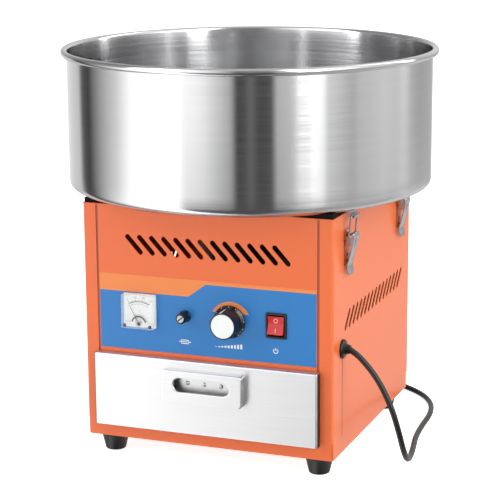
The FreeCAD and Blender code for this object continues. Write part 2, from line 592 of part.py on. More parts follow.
def voltmeter():
    half = "(meter_size/2)"
    span = (f"meter_across - {half}", f"meter_across + {half}")
    rise = (f"meter_up - {half}", f"meter_up + {half}")
    case_front = f"({LABEL_FACE} - meter_case)"
    cover_front = f"({case_front} - meter_cover)"
    frame = slab("meter_frame", span, (case_front, LABEL_FACE), rise)
    barrel = rod("meter_barrel", ("meter_across", LABEL_FACE, "meter_up"), "meter_barrel_radius",
                 "meter_barrel_length", "y")
    part("voltmeter_case", fuse("voltmeter_case", frame, barrel))
    dial_inset = "meter_wall + dial_play"
    part("voltmeter_dial", slab("voltmeter_dial", (f"{span[0]} + {dial_inset}", f"{span[1]} - ({dial_inset})"),
                                (f"{case_front} - dial_thick", case_front),
                                (f"{rise[0]} + {dial_inset}", f"{rise[1]} - ({dial_inset})")))
    shell = slab("cover_shell", span, (cover_front, case_front), rise)
    room = slab("cover_room", (f"{span[0]} + meter_wall", f"{span[1]} - meter_wall"),
                (f"{cover_front} + meter_wall", f"{case_front} + overlap"),
                (f"{rise[0]} + meter_wall", f"{rise[1]} - meter_wall"))
    part("voltmeter_cover", cut("voltmeter_cover", shell, room))
    voltmeter_needle(case_front)


def voltmeter_needle(case_front):
    """Pointer and hub, built upright and turned to the low end of the scale."""
    hub = rod("needle_hub", ("0", "0", "0"), "needle_hub", "needle_hub_rise", "y")
    pointer = box("needle_pointer", ("-needle_width/2", "needle_back", "0"),
                  ("needle_width", "needle_thick", "needle_length"))
    needle = fuse("needle_upright", hub, pointer)
    needle.Placement = FreeCAD.Placement(FreeCAD.Vector(), FreeCAD.Rotation(FreeCAD.Vector(0, 1, 0), -20))
    bind(needle, Placement__Rotation__Angle="-needle_half_sweep", Placement__Base__x="meter_across",
         Placement__Base__y=f"{case_front} - dial_thick - needle_gap - needle_hub_rise",
         Placement__Base__z="meter_up - needle_drop")
    part("voltmeter_needle", group("needle", needle))


def fuse_holder():
    """Panel fuse holder with its screw cap and the glass link that the cap draws out."""
    start = f"({LABEL_FACE} - fuse_bezel)"
    seat, stem_radius = f"({start} - fuse_cap_gap)", "(fuse_link_radius + fuse_stem_wall)"
    bezel = rod("fuse_bezel_ring", ("fuse_across", start, "fuse_up"), "fuse_bezel_radius", "fuse_bezel", "y")
    barrel = rod("fuse_barrel", ("fuse_across", LABEL_FACE, "fuse_up"), "fuse_barrel_radius",
                 "fuse_barrel_length", "y")
    bore = rod("fuse_bore", ("fuse_across", f"{start} - overlap", "fuse_up"), f"{stem_radius} + fuse_bore_play",
               "fuse_barrel_length", "y")
    part("fuse_holder", cut("fuse_holder", fuse("fuse_holder_blank", bezel, barrel), bore))
    cap = taper("fuse_cap_grip", ("fuse_across", seat, "fuse_up"), "fuse_cap_radius", "fuse_cap_tip_radius",
                "fuse_cap_length", "-y")
    stem = rod("fuse_cap_stem", ("fuse_across", seat, "fuse_up"), stem_radius, "fuse_stem", "y")
    tip = f"({seat} - fuse_cap_length)"
    slot = slab("fuse_cap_slot", ("fuse_across - fuse_slot_half", "fuse_across + fuse_slot_half"),
                (f"{tip} - overlap", f"{tip} + fuse_slot_depth"),
                ("fuse_up - fuse_cap_radius", "fuse_up + fuse_cap_radius"))
    part("fuse_cap", cut("fuse_cap", fuse("fuse_cap_blank", cap, stem), slot))
    part("fuse_link", rod("fuse_link", ("fuse_across", f"{start} + fuse_stem", "fuse_up"), "fuse_link_radius",
                          "fuse_link_length", "y"))


def regulator():
    """Rotary regulator behind the panel with its bushing and nut, and the shaft that turns in it."""
    inner = f"({FRONT} + sheet_steel)"
    shaft_back = f"({inner} + regulator_depth - shaft_end)"
    can = rod("regulator_can", ("knob_across", inner, "panel_row"), "regulator_radius", "regulator_depth", "y")
    bushing = rod("regulator_bushing", ("knob_across", inner, "panel_row"), "bushing_radius",
                  "sheet_steel + label_thick + bushing_tip", "-y")
    nut = rod("regulator_nut", ("knob_across", LABEL_FACE, "panel_row"), "bushing_radius + bushing_nut_wall",
              "bushing_nut", "-y")
    bore = rod("regulator_bore", ("knob_across", f"{shaft_back} + overlap", "panel_row"),
               "shaft_radius + fit_play", "knob_front + regulator_depth", "-y")
    part("power_regulator", cut("power_regulator", fuse("regulator_blank", can, bushing, nut), bore))
    part("regulator_shaft", rod("regulator_shaft", ("knob_across", shaft_back, "panel_row"), "shaft_radius",
                                f"{shaft_back} - ({FRONT} - knob_front + shaft_end)", "-y"))
    knob()


def knob():
    """Skirted knob with a blind bore for the shaft, and the disc let into its face."""
    gap, room, hollow = "knob_gap", "(bushing_radius + bushing_room)", "(knob_gap + knob_room)"
    tip, bore = "(knob_front - label_thick)", "(shaft_radius + fit_play)"
    seat, floor = f"{tip} - insert_thick", f"{tip} - knob_floor"
    profile = [(room, gap), ("skirt_radius", gap), ("skirt_radius", f"{gap} + skirt_edge"),
               ("knob_radius + knob_flare", f"{gap} + skirt_thick"), ("knob_radius", tip),
               ("knob_face_radius", tip), ("knob_face_radius", seat), ("0", seat), ("0", floor), (bore, floor),
               (bore, hollow), (room, hollow)]
    part("regulator_knob", place(turned("knob_turn", profile), "knob_across", LABEL_FACE, "panel_row", "-y"))
    start = ("knob_across", f"{FRONT} - knob_front + insert_thick", "panel_row")
    part("knob_insert", rod("knob_insert", start, "knob_face_radius - fit_play", "insert_thick + insert_back",
                            "-y"))


def rocker_switch():
    """Mains rocker: housing with a bezel, and the rocker resting with its upper half pressed."""
    inset = "switch_body_inset + hole_play"
    bezel = slab("switch_bezel", switch_span("0"), (f"{LABEL_FACE} - switch_bezel", LABEL_FACE),
                 switch_rise("0"))
    housing = slab("switch_box", switch_span(inset),
                   (f"{LABEL_FACE} - overlap", f"{LABEL_FACE} + switch_depth"), switch_rise(inset))
    mouth = slab("switch_mouth", switch_span("switch_rim"),
                 (f"{LABEL_FACE} - switch_bezel - overlap", f"{LABEL_FACE} + switch_mouth"),
                 switch_rise("switch_rim"))
    part("switch_housing", cut("switch_housing", fuse("switch_blank", bezel, housing), mouth))
    body = new_body("rocker_block")
    side = [("rocker_half - rocker_taper", "-rocker_back"), ("rocker_half", "rocker_rise"),
            ("0", "rocker_rise - rocker_dip"), ("-rocker_half", "rocker_rise"),
            ("-rocker_half + rocker_taper", "-rocker_back")]
    outline_points = [(f"-({out})", up) for up, out in side]
    width = "switch_width - 2*(switch_rim + rocker_play)"
    pad(body, "YZ", outline_points, width, f"-({width})/2")
    pin_half = f"(({width})/2 + 0.7*rocker_play)"
    pin = rod("rocker_pin", (f"-{pin_half}", "0", "0"), "rocker_pin_radius", f"2*{pin_half}", "x")
    rocker = fuse("rocker_on_pin", body, pin)
    rocker.Placement = FreeCAD.Placement(FreeCAD.Vector(), FreeCAD.Rotation(FreeCAD.Vector(1, 0, 0), -10))
    bind(rocker, Placement__Rotation__Angle="-rock_swing/2", Placement__Base__x="switch_across",
         Placement__Base__y=f"{LABEL_FACE} + rocker_sink", Placement__Base__z="panel_row")
    part("switch_rocker", group("rocker", rocker))


# ---------------------------------------------------------------- drawer

TRAY_FRONT = f"({DRAWER_FACE} + sheet_steel)"


def drawer():
    """Folded front, open tray behind it and the box-shaped handle with its long grip slot."""
    face_back = f"({FRONT} - drawer_face_gap)"
    top = "(drawer_bottom + drawer_face_height)"
    half, tray, back = DRAWER_HALF, TRAY_HALF, f"({BACK} - sheet_steel - tray_gap)"
    pan = slab("drawer_pan", (f"-{half}", half), (DRAWER_FACE, face_back), ("drawer_bottom", top))
    inside = slab("drawer_pan_inside", (f"-{half} + sheet_steel", f"{half} - sheet_steel"),
                  (TRAY_FRONT, f"{face_back} + overlap"),
                  ("drawer_bottom + sheet_steel", f"{top} - sheet_steel"))
    part("drawer_front", cut("drawer_front", pan, inside))
    rim = "(tray_floor + tray_wall_height)"
    blank = slab("drawer_tray_blank", (f"-{tray}", tray), (TRAY_FRONT, back), ("tray_floor", rim))
    room = slab("drawer_tray_room", (f"-{tray} + tray_sheet", f"{tray} - tray_sheet"),
                (f"{TRAY_FRONT} + tray_sheet", f"{back} - tray_sheet"),
                ("tray_floor + tray_sheet", f"{rim} + overlap"))
    part("drawer_tray", cut("drawer_tray", blank, room))
    handle()


def handle():
    half = "(handle_width/2)"
    span = (f"handle_across - {half}", f"handle_across + {half}")
    front = f"({DRAWER_FACE} - handle_depth)"
    rise = ("handle_bottom", "handle_bottom + handle_height")
    shell = slab("handle_shell", span, (front, DRAWER_FACE), rise)
    room = slab("handle_room", (f"{span[0]} + handle_sheet", f"{span[1]} - handle_sheet"),
                (f"{front} + handle_sheet", f"{DRAWER_FACE} + overlap"),
                (f"{rise[0]} + handle_sheet", f"{rise[1]} - handle_sheet"))
    reach = "(grip_length/2 - grip_height/2)"
    middle = "(handle_bottom + grip_up)"
    ends = [rod("grip_end", (f"handle_across {sign} {reach}", f"{front} - overlap", middle), "grip_height/2",
                "handle_sheet + 2*overlap", "y") for sign in "-+"]
    between = slab("grip_middle", (f"handle_across - {reach}", f"handle_across + {reach}"),
                   (f"{front} - overlap", f"{front} + handle_sheet + overlap"),
                   (f"{middle} - grip_height/2", f"{middle} + grip_height/2"))
    part("drawer_handle", cut("drawer_handle", shell, room, between, *ends))
    screws = [rod("handle_screw", (f"handle_across + {i}*handle_screw_pitch", DRAWER_FACE, middle),
                  "handle_screw_radius", "handle_screw_rise", "-y") for i in (-1, 0, 1)]
    part("handle_screws", group("handle_screws", *screws))


def drawer_rails():
    """Folded rails on the base tray: a ledge under the drawer tray and a guide beside it."""
    guide, thick = f"({TRAY_HALF} + rail_play)", "sheet_steel"
    foot = f"({SIDE} - foot_inset + rail_edge)"
    ledge = "(tray_floor - rail_gap)"
    floor = "(foot_height + sheet_steel)"
    profile = [(f"{guide} - rail_ledge", ledge), (guide, ledge), (guide, "tray_floor + rail_rise"),
               (f"{guide} + {thick}", "tray_floor + rail_rise"), (f"{guide} + {thick}", f"{floor} + {thick}"),
               (foot, f"{floor} + {thick}"), (foot, floor), (guide, floor),
               (guide, f"{ledge} - {thick}"), (f"{guide} - rail_ledge", f"{ledge} - {thick}")]
    pieces = []
    for name in ("rail_right", "rail_left"):
        body = new_body(name)
        pad(body, "XZ", profile, "body_depth - 2*rail_short", f"-({BACK} - rail_short)")
        holes = [rod("rail_hole", (x, y, f"{floor} - overlap"), SCREW_HOLE, f"{thick} + 2*overlap")
                 for x, y in FEET[2:]]
        pieces.append(cut(name + "_drilled", body, *holes))
    part("drawer_rails", group("drawer_rails", pieces[0], mirrored("rail_left_mirrored", pieces[1])))


def drawer_shelf():
    """Plate that parts the drawer from the electrics, held by the side and rear panels."""
    deep = "2*sheet_steel"
    part("drawer_shelf", slab("drawer_shelf", (f"-{SIDE} + {deep}", f"{SIDE} - {deep}"),
                              (f"{FRONT} + {deep}", f"{BACK} - {deep}"),
                              ("shelf_height", "shelf_height + sheet_steel")))


# ---------------------------------------------------------------- motor and spindle

MOTOR_TOP = "(motor_bottom + motor_height)"
BRACKET_TOP = f"({MOTOR_TOP} + bracket_thick)"
SPINDLE_BORE = "(spindle_radius + fit_play)"


def motor():
    low, high, seat, wall = "motor_bottom", MOTOR_TOP, "bearing_radius", "motor_wall"
    boss = "(bearing_radius + bearing_boss)"
    inner = "(motor_radius - motor_wall)"
    profile = [(seat, low), ("motor_radius", low), ("motor_radius", high), (seat, high),
               (seat, f"{high} - bearing_width"), (boss, f"{high} - bearing_width"), (boss, f"{high} - {wall}"),
               (inner, f"{high} - {wall}"), (inner, f"{low} + {wall}"), (boss, f"{low} + {wall}"),
               (boss, f"{low} + bearing_width"), (seat, f"{low} + bearing_width")]
    part("motor_housing", turned("motor_can", profile))
    rings = []
    for z in (low, f"{high} - bearing_width"):
        ring = rod("bearing_blank", ("0", "0", z), "bearing_radius", "bearing_width")
        hole = rod("bearing_bore", ("0", "0", f"{z} - overlap"), SPINDLE_BORE, "bearing_width + 2*overlap")
        rings.append(cut("bearing", ring, hole))
    part("shaft_bearings", group("shaft_bearings", *rings))
    middle = f"({low} + motor_height/2 - rotor_stack/2)"
    stack = rod("rotor_stack_blank", ("0", "0", middle), f"{inner} - rotor_play", "rotor_stack")
    bore = rod("rotor_bore", ("0", "0", f"{middle} - overlap"), SPINDLE_BORE, "rotor_stack + 2*overlap")
    part("motor_rotor", cut("motor_rotor", stack, bore))


def motor_bracket():
    plate = box("bracket_plate", ("-bracket_length/2", "-bracket_width/2", MOTOR_TOP),
                ("bracket_length", "bracket_width", "bracket_thick"))
    hole = rod("bracket_hole", ("0", "0", f"{MOTOR_TOP} - overlap"), "bearing_radius + bracket_play",
               "bracket_thick + 2*overlap")
    part("motor_bracket", cut("motor_bracket", plate, hole))
    inset = "(damper_radius + damper_inset)"
    places = [(f"{s}*(bracket_length/2 - {inset})", f"{t}*(bracket_width/2 - {inset})")
              for s in (-1, 1) for t in (-1, 1)]
    dampers = [rod("damper", (x, y, BRACKET_TOP), "damper_radius", f"{WALL_TOP} - {BRACKET_TOP}")
               for x, y in places]
    part("motor_dampers", group("motor_dampers", *dampers))


RING_HEIGHTS = [f"({BRACKET_TOP} + brush_tower/2 + {sign}*ring_pitch/2 - ring_width/2)" for sign in (-1, 1)]


def slip_rings():
    """Insulating bush on the spindle with two brass rings that feed the spinning heater."""
    core = "(ring_radius - ring_wall)"
    bush = rod("ring_bush", ("0", "0", f"{BRACKET_TOP} + bush_gap"), core, "brush_tower - 2*bush_gap")
    hole = rod("ring_bush_bore", ("0", "0", BRACKET_TOP), SPINDLE_BORE, "brush_tower")
    pieces = [cut("ring_bush_bored", bush, hole)]
    for z in RING_HEIGHTS:
        ring = rod("ring_blank", ("0", "0", z), "ring_radius", "ring_width")
        hole = rod("ring_hole", ("0", "0", f"{z} - overlap"), core, "ring_width + 2*overlap")
        pieces.append(cut("ring", ring, hole))
    part("slip_rings", group("slip_rings", *pieces))


def brushes():
    """Insulated holder beside the rings and the two carbon brushes that bear on them."""
    near = "(ring_radius + brush_play)"
    half = "(brush_size/2)"
    holder = box("brush_block", (f"{near} + brush_gap", "-brush_block/2", BRACKET_TOP),
                 ("brush_block", "brush_block", "brush_tower"))
    windows, sticks = [], []
    for z in RING_HEIGHTS:
        low = f"({z} + ring_width/2 - {half})"
        windows.append(slab("brush_window", (near, f"{near} + 2*brush_block"), (f"-{half}", half),
                            (low, f"{low} + brush_size")))
        sticks.append(box("brush", (near, f"-{half}", low), ("brush_length", "brush_size", "brush_size")))
    part("brush_holder", cut("brush_holder", holder, *windows))
    part("carbon_brushes", group("carbon_brushes", *sticks))


HEAD_BASE = f"({BOWL_BASE} + head_lift)"
BOLT_HOLE = "(head_bolt_radius + head_bolt_play)"
SCREEN_TOP = f"({HEAD_BASE} + head_plate + screen_height)"
CAP_TOP = f"({SCREEN_TOP} + cap_rise)"


def drive_shaft():
    low, high = "(motor_bottom - spindle_end)", f"({HEAD_BASE} + head_plate + spindle_end)"
    part("drive_shaft", rod("drive_shaft", ("0", "0", low), "spindle_radius", f"{high} - {low}"))


def bolt_places():
    step = "360/head_bolts"
    return [(f"head_bolt_circle*cos({i}*{step} * 1 deg)", f"head_bolt_circle*sin({i}*{step} * 1 deg)")
            for i in range(int(value("head_bolts")))]


def spinner_head():
    """Spinner: base on the spindle, heater, slotted screen and cap with the sugar funnel."""
    base, plate_top = HEAD_BASE, f"({HEAD_BASE} + head_plate)"
    profile = [(SPINDLE_BORE, f"{base} - hub_drop"), ("hub_radius", f"{base} - hub_drop"), ("hub_radius", base),
               ("head_radius", base), ("head_radius", plate_top), (SPINDLE_BORE, plate_top)]
    plate = turned("head_plate_turn", profile)
    holes = [rod("base_bolt_hole", (x, y, f"{base} - overlap"), BOLT_HOLE, "head_plate + 2*overlap")
             for x, y in bolt_places()]
    part("spinner_base", cut("spinner_base", plate, *holes))
    screen()
    heater(plate_top)
    spinner_cap()
    spinner_bolts()


def spinner_cap():
    """Shallow cone over the screen with the flared funnel that the sugar goes into."""
    neck, outer, top = "(funnel_radius - funnel_wall)", "(funnel_radius + funnel_flare)", CAP_TOP
    profile = [(neck, SCREEN_TOP), ("head_radius", SCREEN_TOP),
               ("head_radius - cap_edge", f"{SCREEN_TOP} + cap_edge"), (outer, top),
               (outer, f"{top} + funnel_height"), (f"{outer} - funnel_wall", f"{top} + funnel_height"),
               (neck, top)]
    cap = turned("cap_turn", profile)
    holes = [rod("cap_bolt_hole", (x, y, f"{SCREEN_TOP} - overlap"), BOLT_HOLE, "2*cap_rise + funnel_height")
             for x, y in bolt_places()]
    part("spinner_cap", cut("spinner_cap", cap, *holes))


def spinner_bolts():
    low = f"({HEAD_BASE} - head_bolt_head)"
    bolts = []
    for x, y in bolt_places():
        shank = rod("head_bolt_shank", (x, y, low), "head_bolt_radius", f"{CAP_TOP} + overlap - {low}")
        head = rod("head_bolt_head", (x, y, low), "2*head_bolt_radius", "head_bolt_head")
        bolts.append(fuse("head_bolt", shank, head))
    part("spinner_bolts", group("spinner_bolts", *bolts))


def screen():
    body = new_body("spinner_screen")
    outer, inner = "(head_radius - screen_inset)", "(head_radius - screen_inset - screen_thick)"
    low = f"({HEAD_BASE} + head_plate)"
    feature = body.newObject("PartDesign::Revolution", "screen_turn")
    feature.Profile = outline(body, "XZ", rectangle((inner, outer), (low, SCREEN_TOP)))
    feature.ReferenceAxis = (feature.Profile[0], ["V_Axis"])
    feature.Angle = 360
    slot = body.newObject("PartDesign::Pocket", "screen_slot")
    slot.Profile = outline(body, "YZ", rectangle(("-screen_slot/2", "screen_slot/2"),
                                                  (f"{low} + screen_margin", f"{SCREEN_TOP} - screen_margin")),
                           "head_radius - screen_inset/2")
    slot.SideType = "Symmetric"
    bind(slot, Length="8*screen_thick")
    pattern = body.newObject("PartDesign::PolarPattern", "screen_slots")
    pattern.Originals = [slot]
    pattern.Axis = (feature.Profile[0], ["V_Axis"])
    pattern.Angle = 360
    bind(pattern, Occurrences="screen_slots")
    body.Tip = pattern
    part("spinner_screen", body)


def heater(plate_top):
    """Heating ring on legs that stand on the spinner's base."""
    ring = doc.addObject("Part::Torus", "heater_ring")
    bind(ring, Radius1="heater_radius", Radius2="heater_tube")
    place(ring, z=f"{plate_top} + heater_lift")
    legs = []
    for i in range(int(value("heater_legs"))):
        turn = f"(({i} + 0.5)*360/heater_legs * 1 deg)"
        start = (f"heater_radius*cos({turn})", f"heater_radius*sin({turn})", plate_top)
        legs.append(rod("heater_leg", start, "heater_leg_radius", "heater_lift"))
    part("heater_coil", fuse("heater_coil", ring, *legs))


# ---------------------------------------------------------------- electrics, strain relief and cord

def electrics():
    """Power board with its heat sink on four standoffs, and the terminal block for the cord."""
    deck = "(shelf_height + sheet_steel)"
    board_top = f"({deck} + board_lift + board_thick)"
    start, front = f"(-{SIDE} + board_inset)", f"({FRONT} + board_near + sheet_steel)"
    pieces = [box("board_plate", (start, front, f"{deck} + board_lift"),
                  ("board_length", "board_width", "board_thick"))]
    for x in (f"{start} + board_margin", f"{start} + board_length - board_margin"):
        for y in (f"{front} + board_margin", f"{front} + board_width - board_margin"):
            pieces.append(rod("board_standoff", (x, y, deck), "board_margin/2", "board_lift"))
    left, near = f"({start} + board_length/4)", f"({front} + board_width/4)"
    sink = box("heat_sink_block", (left, near, board_top), ("sink_length", "board_width/2", "sink_height"))
    gaps = []
    for i in range(int(value("sink_gaps"))):
        gap = f"{left} + sink_fin + {i}*(sink_length - sink_fin)/sink_gaps"
        gaps.append(box("heat_sink_gap", (gap, f"{near} - overlap", f"{board_top} + 2*sink_fin"),
                        ("(sink_length - sink_fin)/sink_gaps - sink_fin", "board_width/2 + 2*overlap",
                         "sink_height")))
    pieces.append(cut("heat_sink", sink, *gaps))
    part("control_board", group("control_board", *pieces))
    corner = (f"{SIDE} - terminal_inset", f"{FRONT} + terminal_near", deck)
    part("terminal_block", box("terminal_block", corner,
                               ("terminal_width", "terminal_length", "terminal_height")))


GLAND_NECK = "(gland_neck_radius + gland_groove)"
GLAND_HOLE = f"({GLAND_NECK} + hole_play)"


def strain_relief():
    """Moulded bush: snap ring behind the sheet, domed flange outside and a tapering nose."""
    behind, tail = "-sheet_steel", "-sheet_steel - gland_inside"
    profile = [("0", tail), ("gland_neck_radius + gland_lead", tail), (f"{GLAND_NECK} + gland_lead", behind),
               (GLAND_NECK, behind), (GLAND_NECK, "0"), ("gland_flange_radius", "0"),
               ("gland_flange_radius", "gland_edge"), ("gland_flange_radius - gland_round", "gland_shoulder"),
               ("gland_flange_radius - gland_crown", "gland_flange"),
               ("gland_neck_radius", "gland_flange + gland_root"), ("gland_tip_radius", "gland_nose"),
               ("0", "gland_nose")]
    bush = turned("strain_relief_turn", profile)
    part("strain_relief", place(bush, SIDE, f"{FRONT} + gland_back", "gland_up", "x"))


# The cord's free stretch from inside the nose, down beside the cabinet, along the floor and to the coil.
CORD_ROUTE = [
    (184, -131, 174), (197, -131, 167.2), (211, -131, 153.8), (224.5, -131, 137.6), (236, -130.5, 118.5),
    (248, -129.5, 91.5), (256, -126, 60.5), (258.5, -114, 34), (257, -92, 14), (253, -62, 4.8),
    (246, -20, 4.2), (236, 28, 4.3), (231, 82, 4.2), (229, 136, 4.3), (217, 186, 4.2), (190, 228, 4.3),
    (143, 263, 4.2), (102.1, 297.7, 4.2),
]


BEND_SHARE = 0.45


def cord_path(points):
    """Straight runs joined by tangent arcs, each taking the same share of its shorter run."""
    corners = [FreeCAD.Vector(*p) for p in points]
    edges, radii, start = [], [], corners[0]
    for before, corner, after in zip(corners, corners[1:], corners[2:]):
        back, ahead = (before - corner).normalize(), (after - corner).normalize()
        half_turn = (math.pi - back.getAngle(ahead))/2
        reach = BEND_SHARE*min(before.distanceToPoint(corner), corner.distanceToPoint(after))
        radius = reach/math.tan(half_turn)
        first, last = corner + back*reach, corner + ahead*reach
        toward = (back + ahead).normalize()
        middle = corner + toward*(radius/math.cos(half_turn) - radius)
        edges += [Part.LineSegment(start, first).toShape(), Part.Arc(first, middle, last).toShape()]
        radii.append(radius)
        start = last
    edges.append(Part.LineSegment(start, corners[-1]).toShape())
    return Part.Wire(edges), radii


def power_cord():
    radius = value("cord_radius")
    path, radii = cord_path(CORD_ROUTE)
    ring = Part.Circle(FreeCAD.Vector(*CORD_ROUTE[0]),
                       FreeCAD.Vector(*CORD_ROUTE[1]) - FreeCAD.Vector(*CORD_ROUTE[0]), radius)
    tube = path.makePipeShell([Part.Wire([ring.toShape()])], True, False, 2)
    cord = doc.addObject("Part::Feature", "power_cord")
    cord.Shape = tube
    part("power_cord", cord)
    section = math.pi*radius**2
    print("cord radii", [round(r, 1) for r in radii])
    print("cord length", round(path.Length, 1), "volume share", round(tube.Volume/(section*path.Length), 4))


PLUG_NOSE_START = "(coil_across - plug_tail)"
PLUG_BACK = "(coil_back + coil_radius)"


def cord_coil():
    """Outer shape of the coiled cord, two turns side by side and one on top, with its tail to the plug."""
    half = "(2*cord_radius)"
    ring = rod("coil_blank", ("coil_across", "coil_back", "0"), f"coil_radius + {half}", "coil_height")
    hole = rod("coil_middle", ("coil_across", "coil_back", "-overlap"), f"coil_radius - {half}",
               "coil_height + 2*overlap")
    tail = rod("coil_tail", (PLUG_NOSE_START, PLUG_BACK, "plug_up"), "cord_radius",
               "plug_tail - plug_socket", "x")
    part("cord_coil", fuse("cord_coil", cut("coil_ring", ring, hole), tail))


def mains_plug():
    """Plug lying beside the coil: tapered nose, body and two round pins, pointing to -X."""
    nose = taper("plug_nose_cone", (PLUG_NOSE_START, PLUG_BACK, "plug_up"), "plug_neck_radius",
                 "plug_shoulder_radius", "plug_nose", "-x")
    grip = rod("plug_grip", (f"{PLUG_NOSE_START} - plug_nose", PLUG_BACK, "plug_up"), "plug_radius",
               "plug_length - plug_nose", "-x")
    face = f"({PLUG_NOSE_START} - plug_length + plug_pin_root)"
    pins = [rod("plug_pin", (face, f"{PLUG_BACK} {sign} plug_pin_spacing/2", "plug_up"), "plug_pin_radius",
                "plug_pin_length", "-x") for sign in "-+"]
    part("mains_plug", fuse("mains_plug", nose, grip, *pins))


# ---------------------------------------------------------------- build and write

def build():
    base_tray()
    rubber_feet()
    cabinet_screws()
    front_panel()
    control_label()
    side_panels()
    rear_panel()
    top_plate()
    bowl_gasket()
    bowl()
    bowl_catches()
    latch_bases()
    for latch in LATCHES:
        latch_lever(*latch)
        latch_bail(*latch)
    voltmeter()
    fuse_holder()
    regulator()
    rocker_switch()
    drawer()
    drawer_rails()
    drawer_shelf()
    motor()
    motor_bracket()
    slip_rings()
    brushes()
    drive_shaft()
    spinner_head()
    electrics()
    strain_relief()
    power_cord()
    cord_coil()
    mains_plug()


def check():
    for thing in doc.Objects:
        if "Invalid" in thing.State or "Error" in thing.State:
            raise RuntimeError(f"{thing.Name} is in state {thing.State}")
    for name, thing in parts.items():
        if thing.Shape.isNull() or not thing.Shape.isValid():
            raise RuntimeError(f"{name} has no valid shape")


build()
doc.recompute()
check()
os.makedirs("parts", exist_ok=True)
for name, thing in parts.items():
    thing.Shape.exportStep(f"parts/{name}.step")
print(len(parts), "parts written")
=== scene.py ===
import bmesh
import bpy
import math
import numpy as np
from mathutils import Matrix, Vector


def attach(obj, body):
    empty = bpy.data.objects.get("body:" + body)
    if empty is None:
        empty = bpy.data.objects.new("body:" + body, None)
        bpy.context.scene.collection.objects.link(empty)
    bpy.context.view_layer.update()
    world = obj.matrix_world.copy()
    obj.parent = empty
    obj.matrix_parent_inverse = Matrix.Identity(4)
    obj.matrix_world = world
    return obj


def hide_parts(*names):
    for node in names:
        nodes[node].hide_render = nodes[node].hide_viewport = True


# Electric candy floss machine: painted steel cabinet, spun steel bowl, drawer, controls and mains lead.
# Lengths in the dictionaries are millimetres, but the camera, the lamps and the floor are placed in
# metres. Meshes are written in metres.
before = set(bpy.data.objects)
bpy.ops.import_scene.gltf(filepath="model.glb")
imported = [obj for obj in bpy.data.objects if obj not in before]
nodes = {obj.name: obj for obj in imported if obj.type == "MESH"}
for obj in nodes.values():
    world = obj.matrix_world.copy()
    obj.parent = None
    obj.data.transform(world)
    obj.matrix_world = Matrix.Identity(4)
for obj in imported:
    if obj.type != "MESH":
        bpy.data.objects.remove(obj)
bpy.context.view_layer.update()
scene = bpy.context.scene
print("stage: frame loaded,", len(nodes), "nodes")


# Camera: its place, its axes and its lens.
cameraPlace = {
    "location": (0.873403, -2.302563, 0.833061),
    "right": (0.9353186, 0.3537446, -0.0066197),
    "up": (-0.0736703, 0.2130198, 0.9742666),
    "back": (0.3460516, -0.9107620, 0.2253018),
    "lens": 128.9055,
}


def makeCamera(place):
    # Its right, up and back directions are the columns of its turn.
    camera = bpy.data.cameras.new("camera")
    camera.sensor_fit = "HORIZONTAL"
    camera.sensor_width = 36
    camera.lens = place["lens"]
    holder = bpy.data.objects.new("camera", camera)
    turn = Matrix((place["right"], place["up"], place["back"])).transposed()
    holder.matrix_world = Matrix.Translation(place["location"]) @ turn.to_4x4()
    scene.collection.objects.link(holder)
    scene.camera = holder


makeCamera(cameraPlace)


def hexColour(text):
    # Turns an sRGB hex colour into linear values, fully opaque.
    shown = [int(text[i:i + 2], 16)/255 for i in (1, 3, 5)]
    return (*[c/12.92 if c <= 0.04045 else ((c + 0.055)/1.055)**2.4 for c in shown], 1)


def addNode(tree, kind, settings=(), inputs=()):
    # One node with its settings; each input takes a value or a link.
    node = tree.nodes.new("ShaderNode" + kind)
    for name, setting in dict(settings).items():
        setattr(node, name, setting)
    for name, given in dict(inputs).items():
        if isinstance(given, bpy.types.NodeSocket):
            tree.links.new(given, node.inputs[name])
        else:
            node.inputs[name].default_value = given
    return node


def fillRamp(node, stops):
    # Each stop is a position and a colour.
    ramp = node.color_ramp
    while len(ramp.elements) < len(stops):
        ramp.elements.new(1)
    for element, (position, colour) in zip(ramp.elements, stops):
        element.position = position
        element.color = colour
    return node


def startMaterial(name, sockets):
    # A new material whose main shader has its sockets filled.
    material = bpy.data.materials.new(name)
    material.use_nodes = True
    tree = material.node_tree
    shader = tree.nodes["Principled BSDF"]
    for socket, given in sockets.items():
        shader.inputs[socket].default_value = given
    return material, tree, shader


def addGrain(tree, shader, colour, grain):
    # Noise at a real grain size drives a little of the colour, the roughness and the surface height.
    where = addNode(tree, "TexCoord").outputs["Object"]
    if "stretch" in grain:
        where = addNode(tree, "Mapping", inputs={"Vector": where, "Scale": grain["stretch"]}).outputs[0]
    noise = addNode(tree, "TexNoise", inputs={"Vector": where, "Scale": 1000/grain["size"], "Detail": 3.0,
                                              "Roughness": 0.6}).outputs["Fac"]
    swing = grain.get("swing", 0.06)
    shades = [(0.25, (*[c*(1 - swing) for c in colour[:3]], 1)),
              (0.75, (*[min(1, c*(1 + swing)) for c in colour[:3]], 1))]
    tint = fillRamp(addNode(tree, "ValToRGB", inputs={"Fac": noise}), shades)
    tree.links.new(tint.outputs["Color"], shader.inputs["Base Color"])
    low, high = grain["rough"]
    rough = addNode(tree, "MapRange", inputs={"Value": noise, "To Min": low, "To Max": high})
    tree.links.new(rough.outputs["Result"], shader.inputs["Roughness"])
    if grain.get("height"):
        bump = addNode(tree, "Bump", inputs={"Height": noise, "Strength": grain.get("strength", 1.0),
                                             "Distance": grain["height"]*0.001})
        tree.links.new(bump.outputs["Normal"], shader.inputs["Normal"])


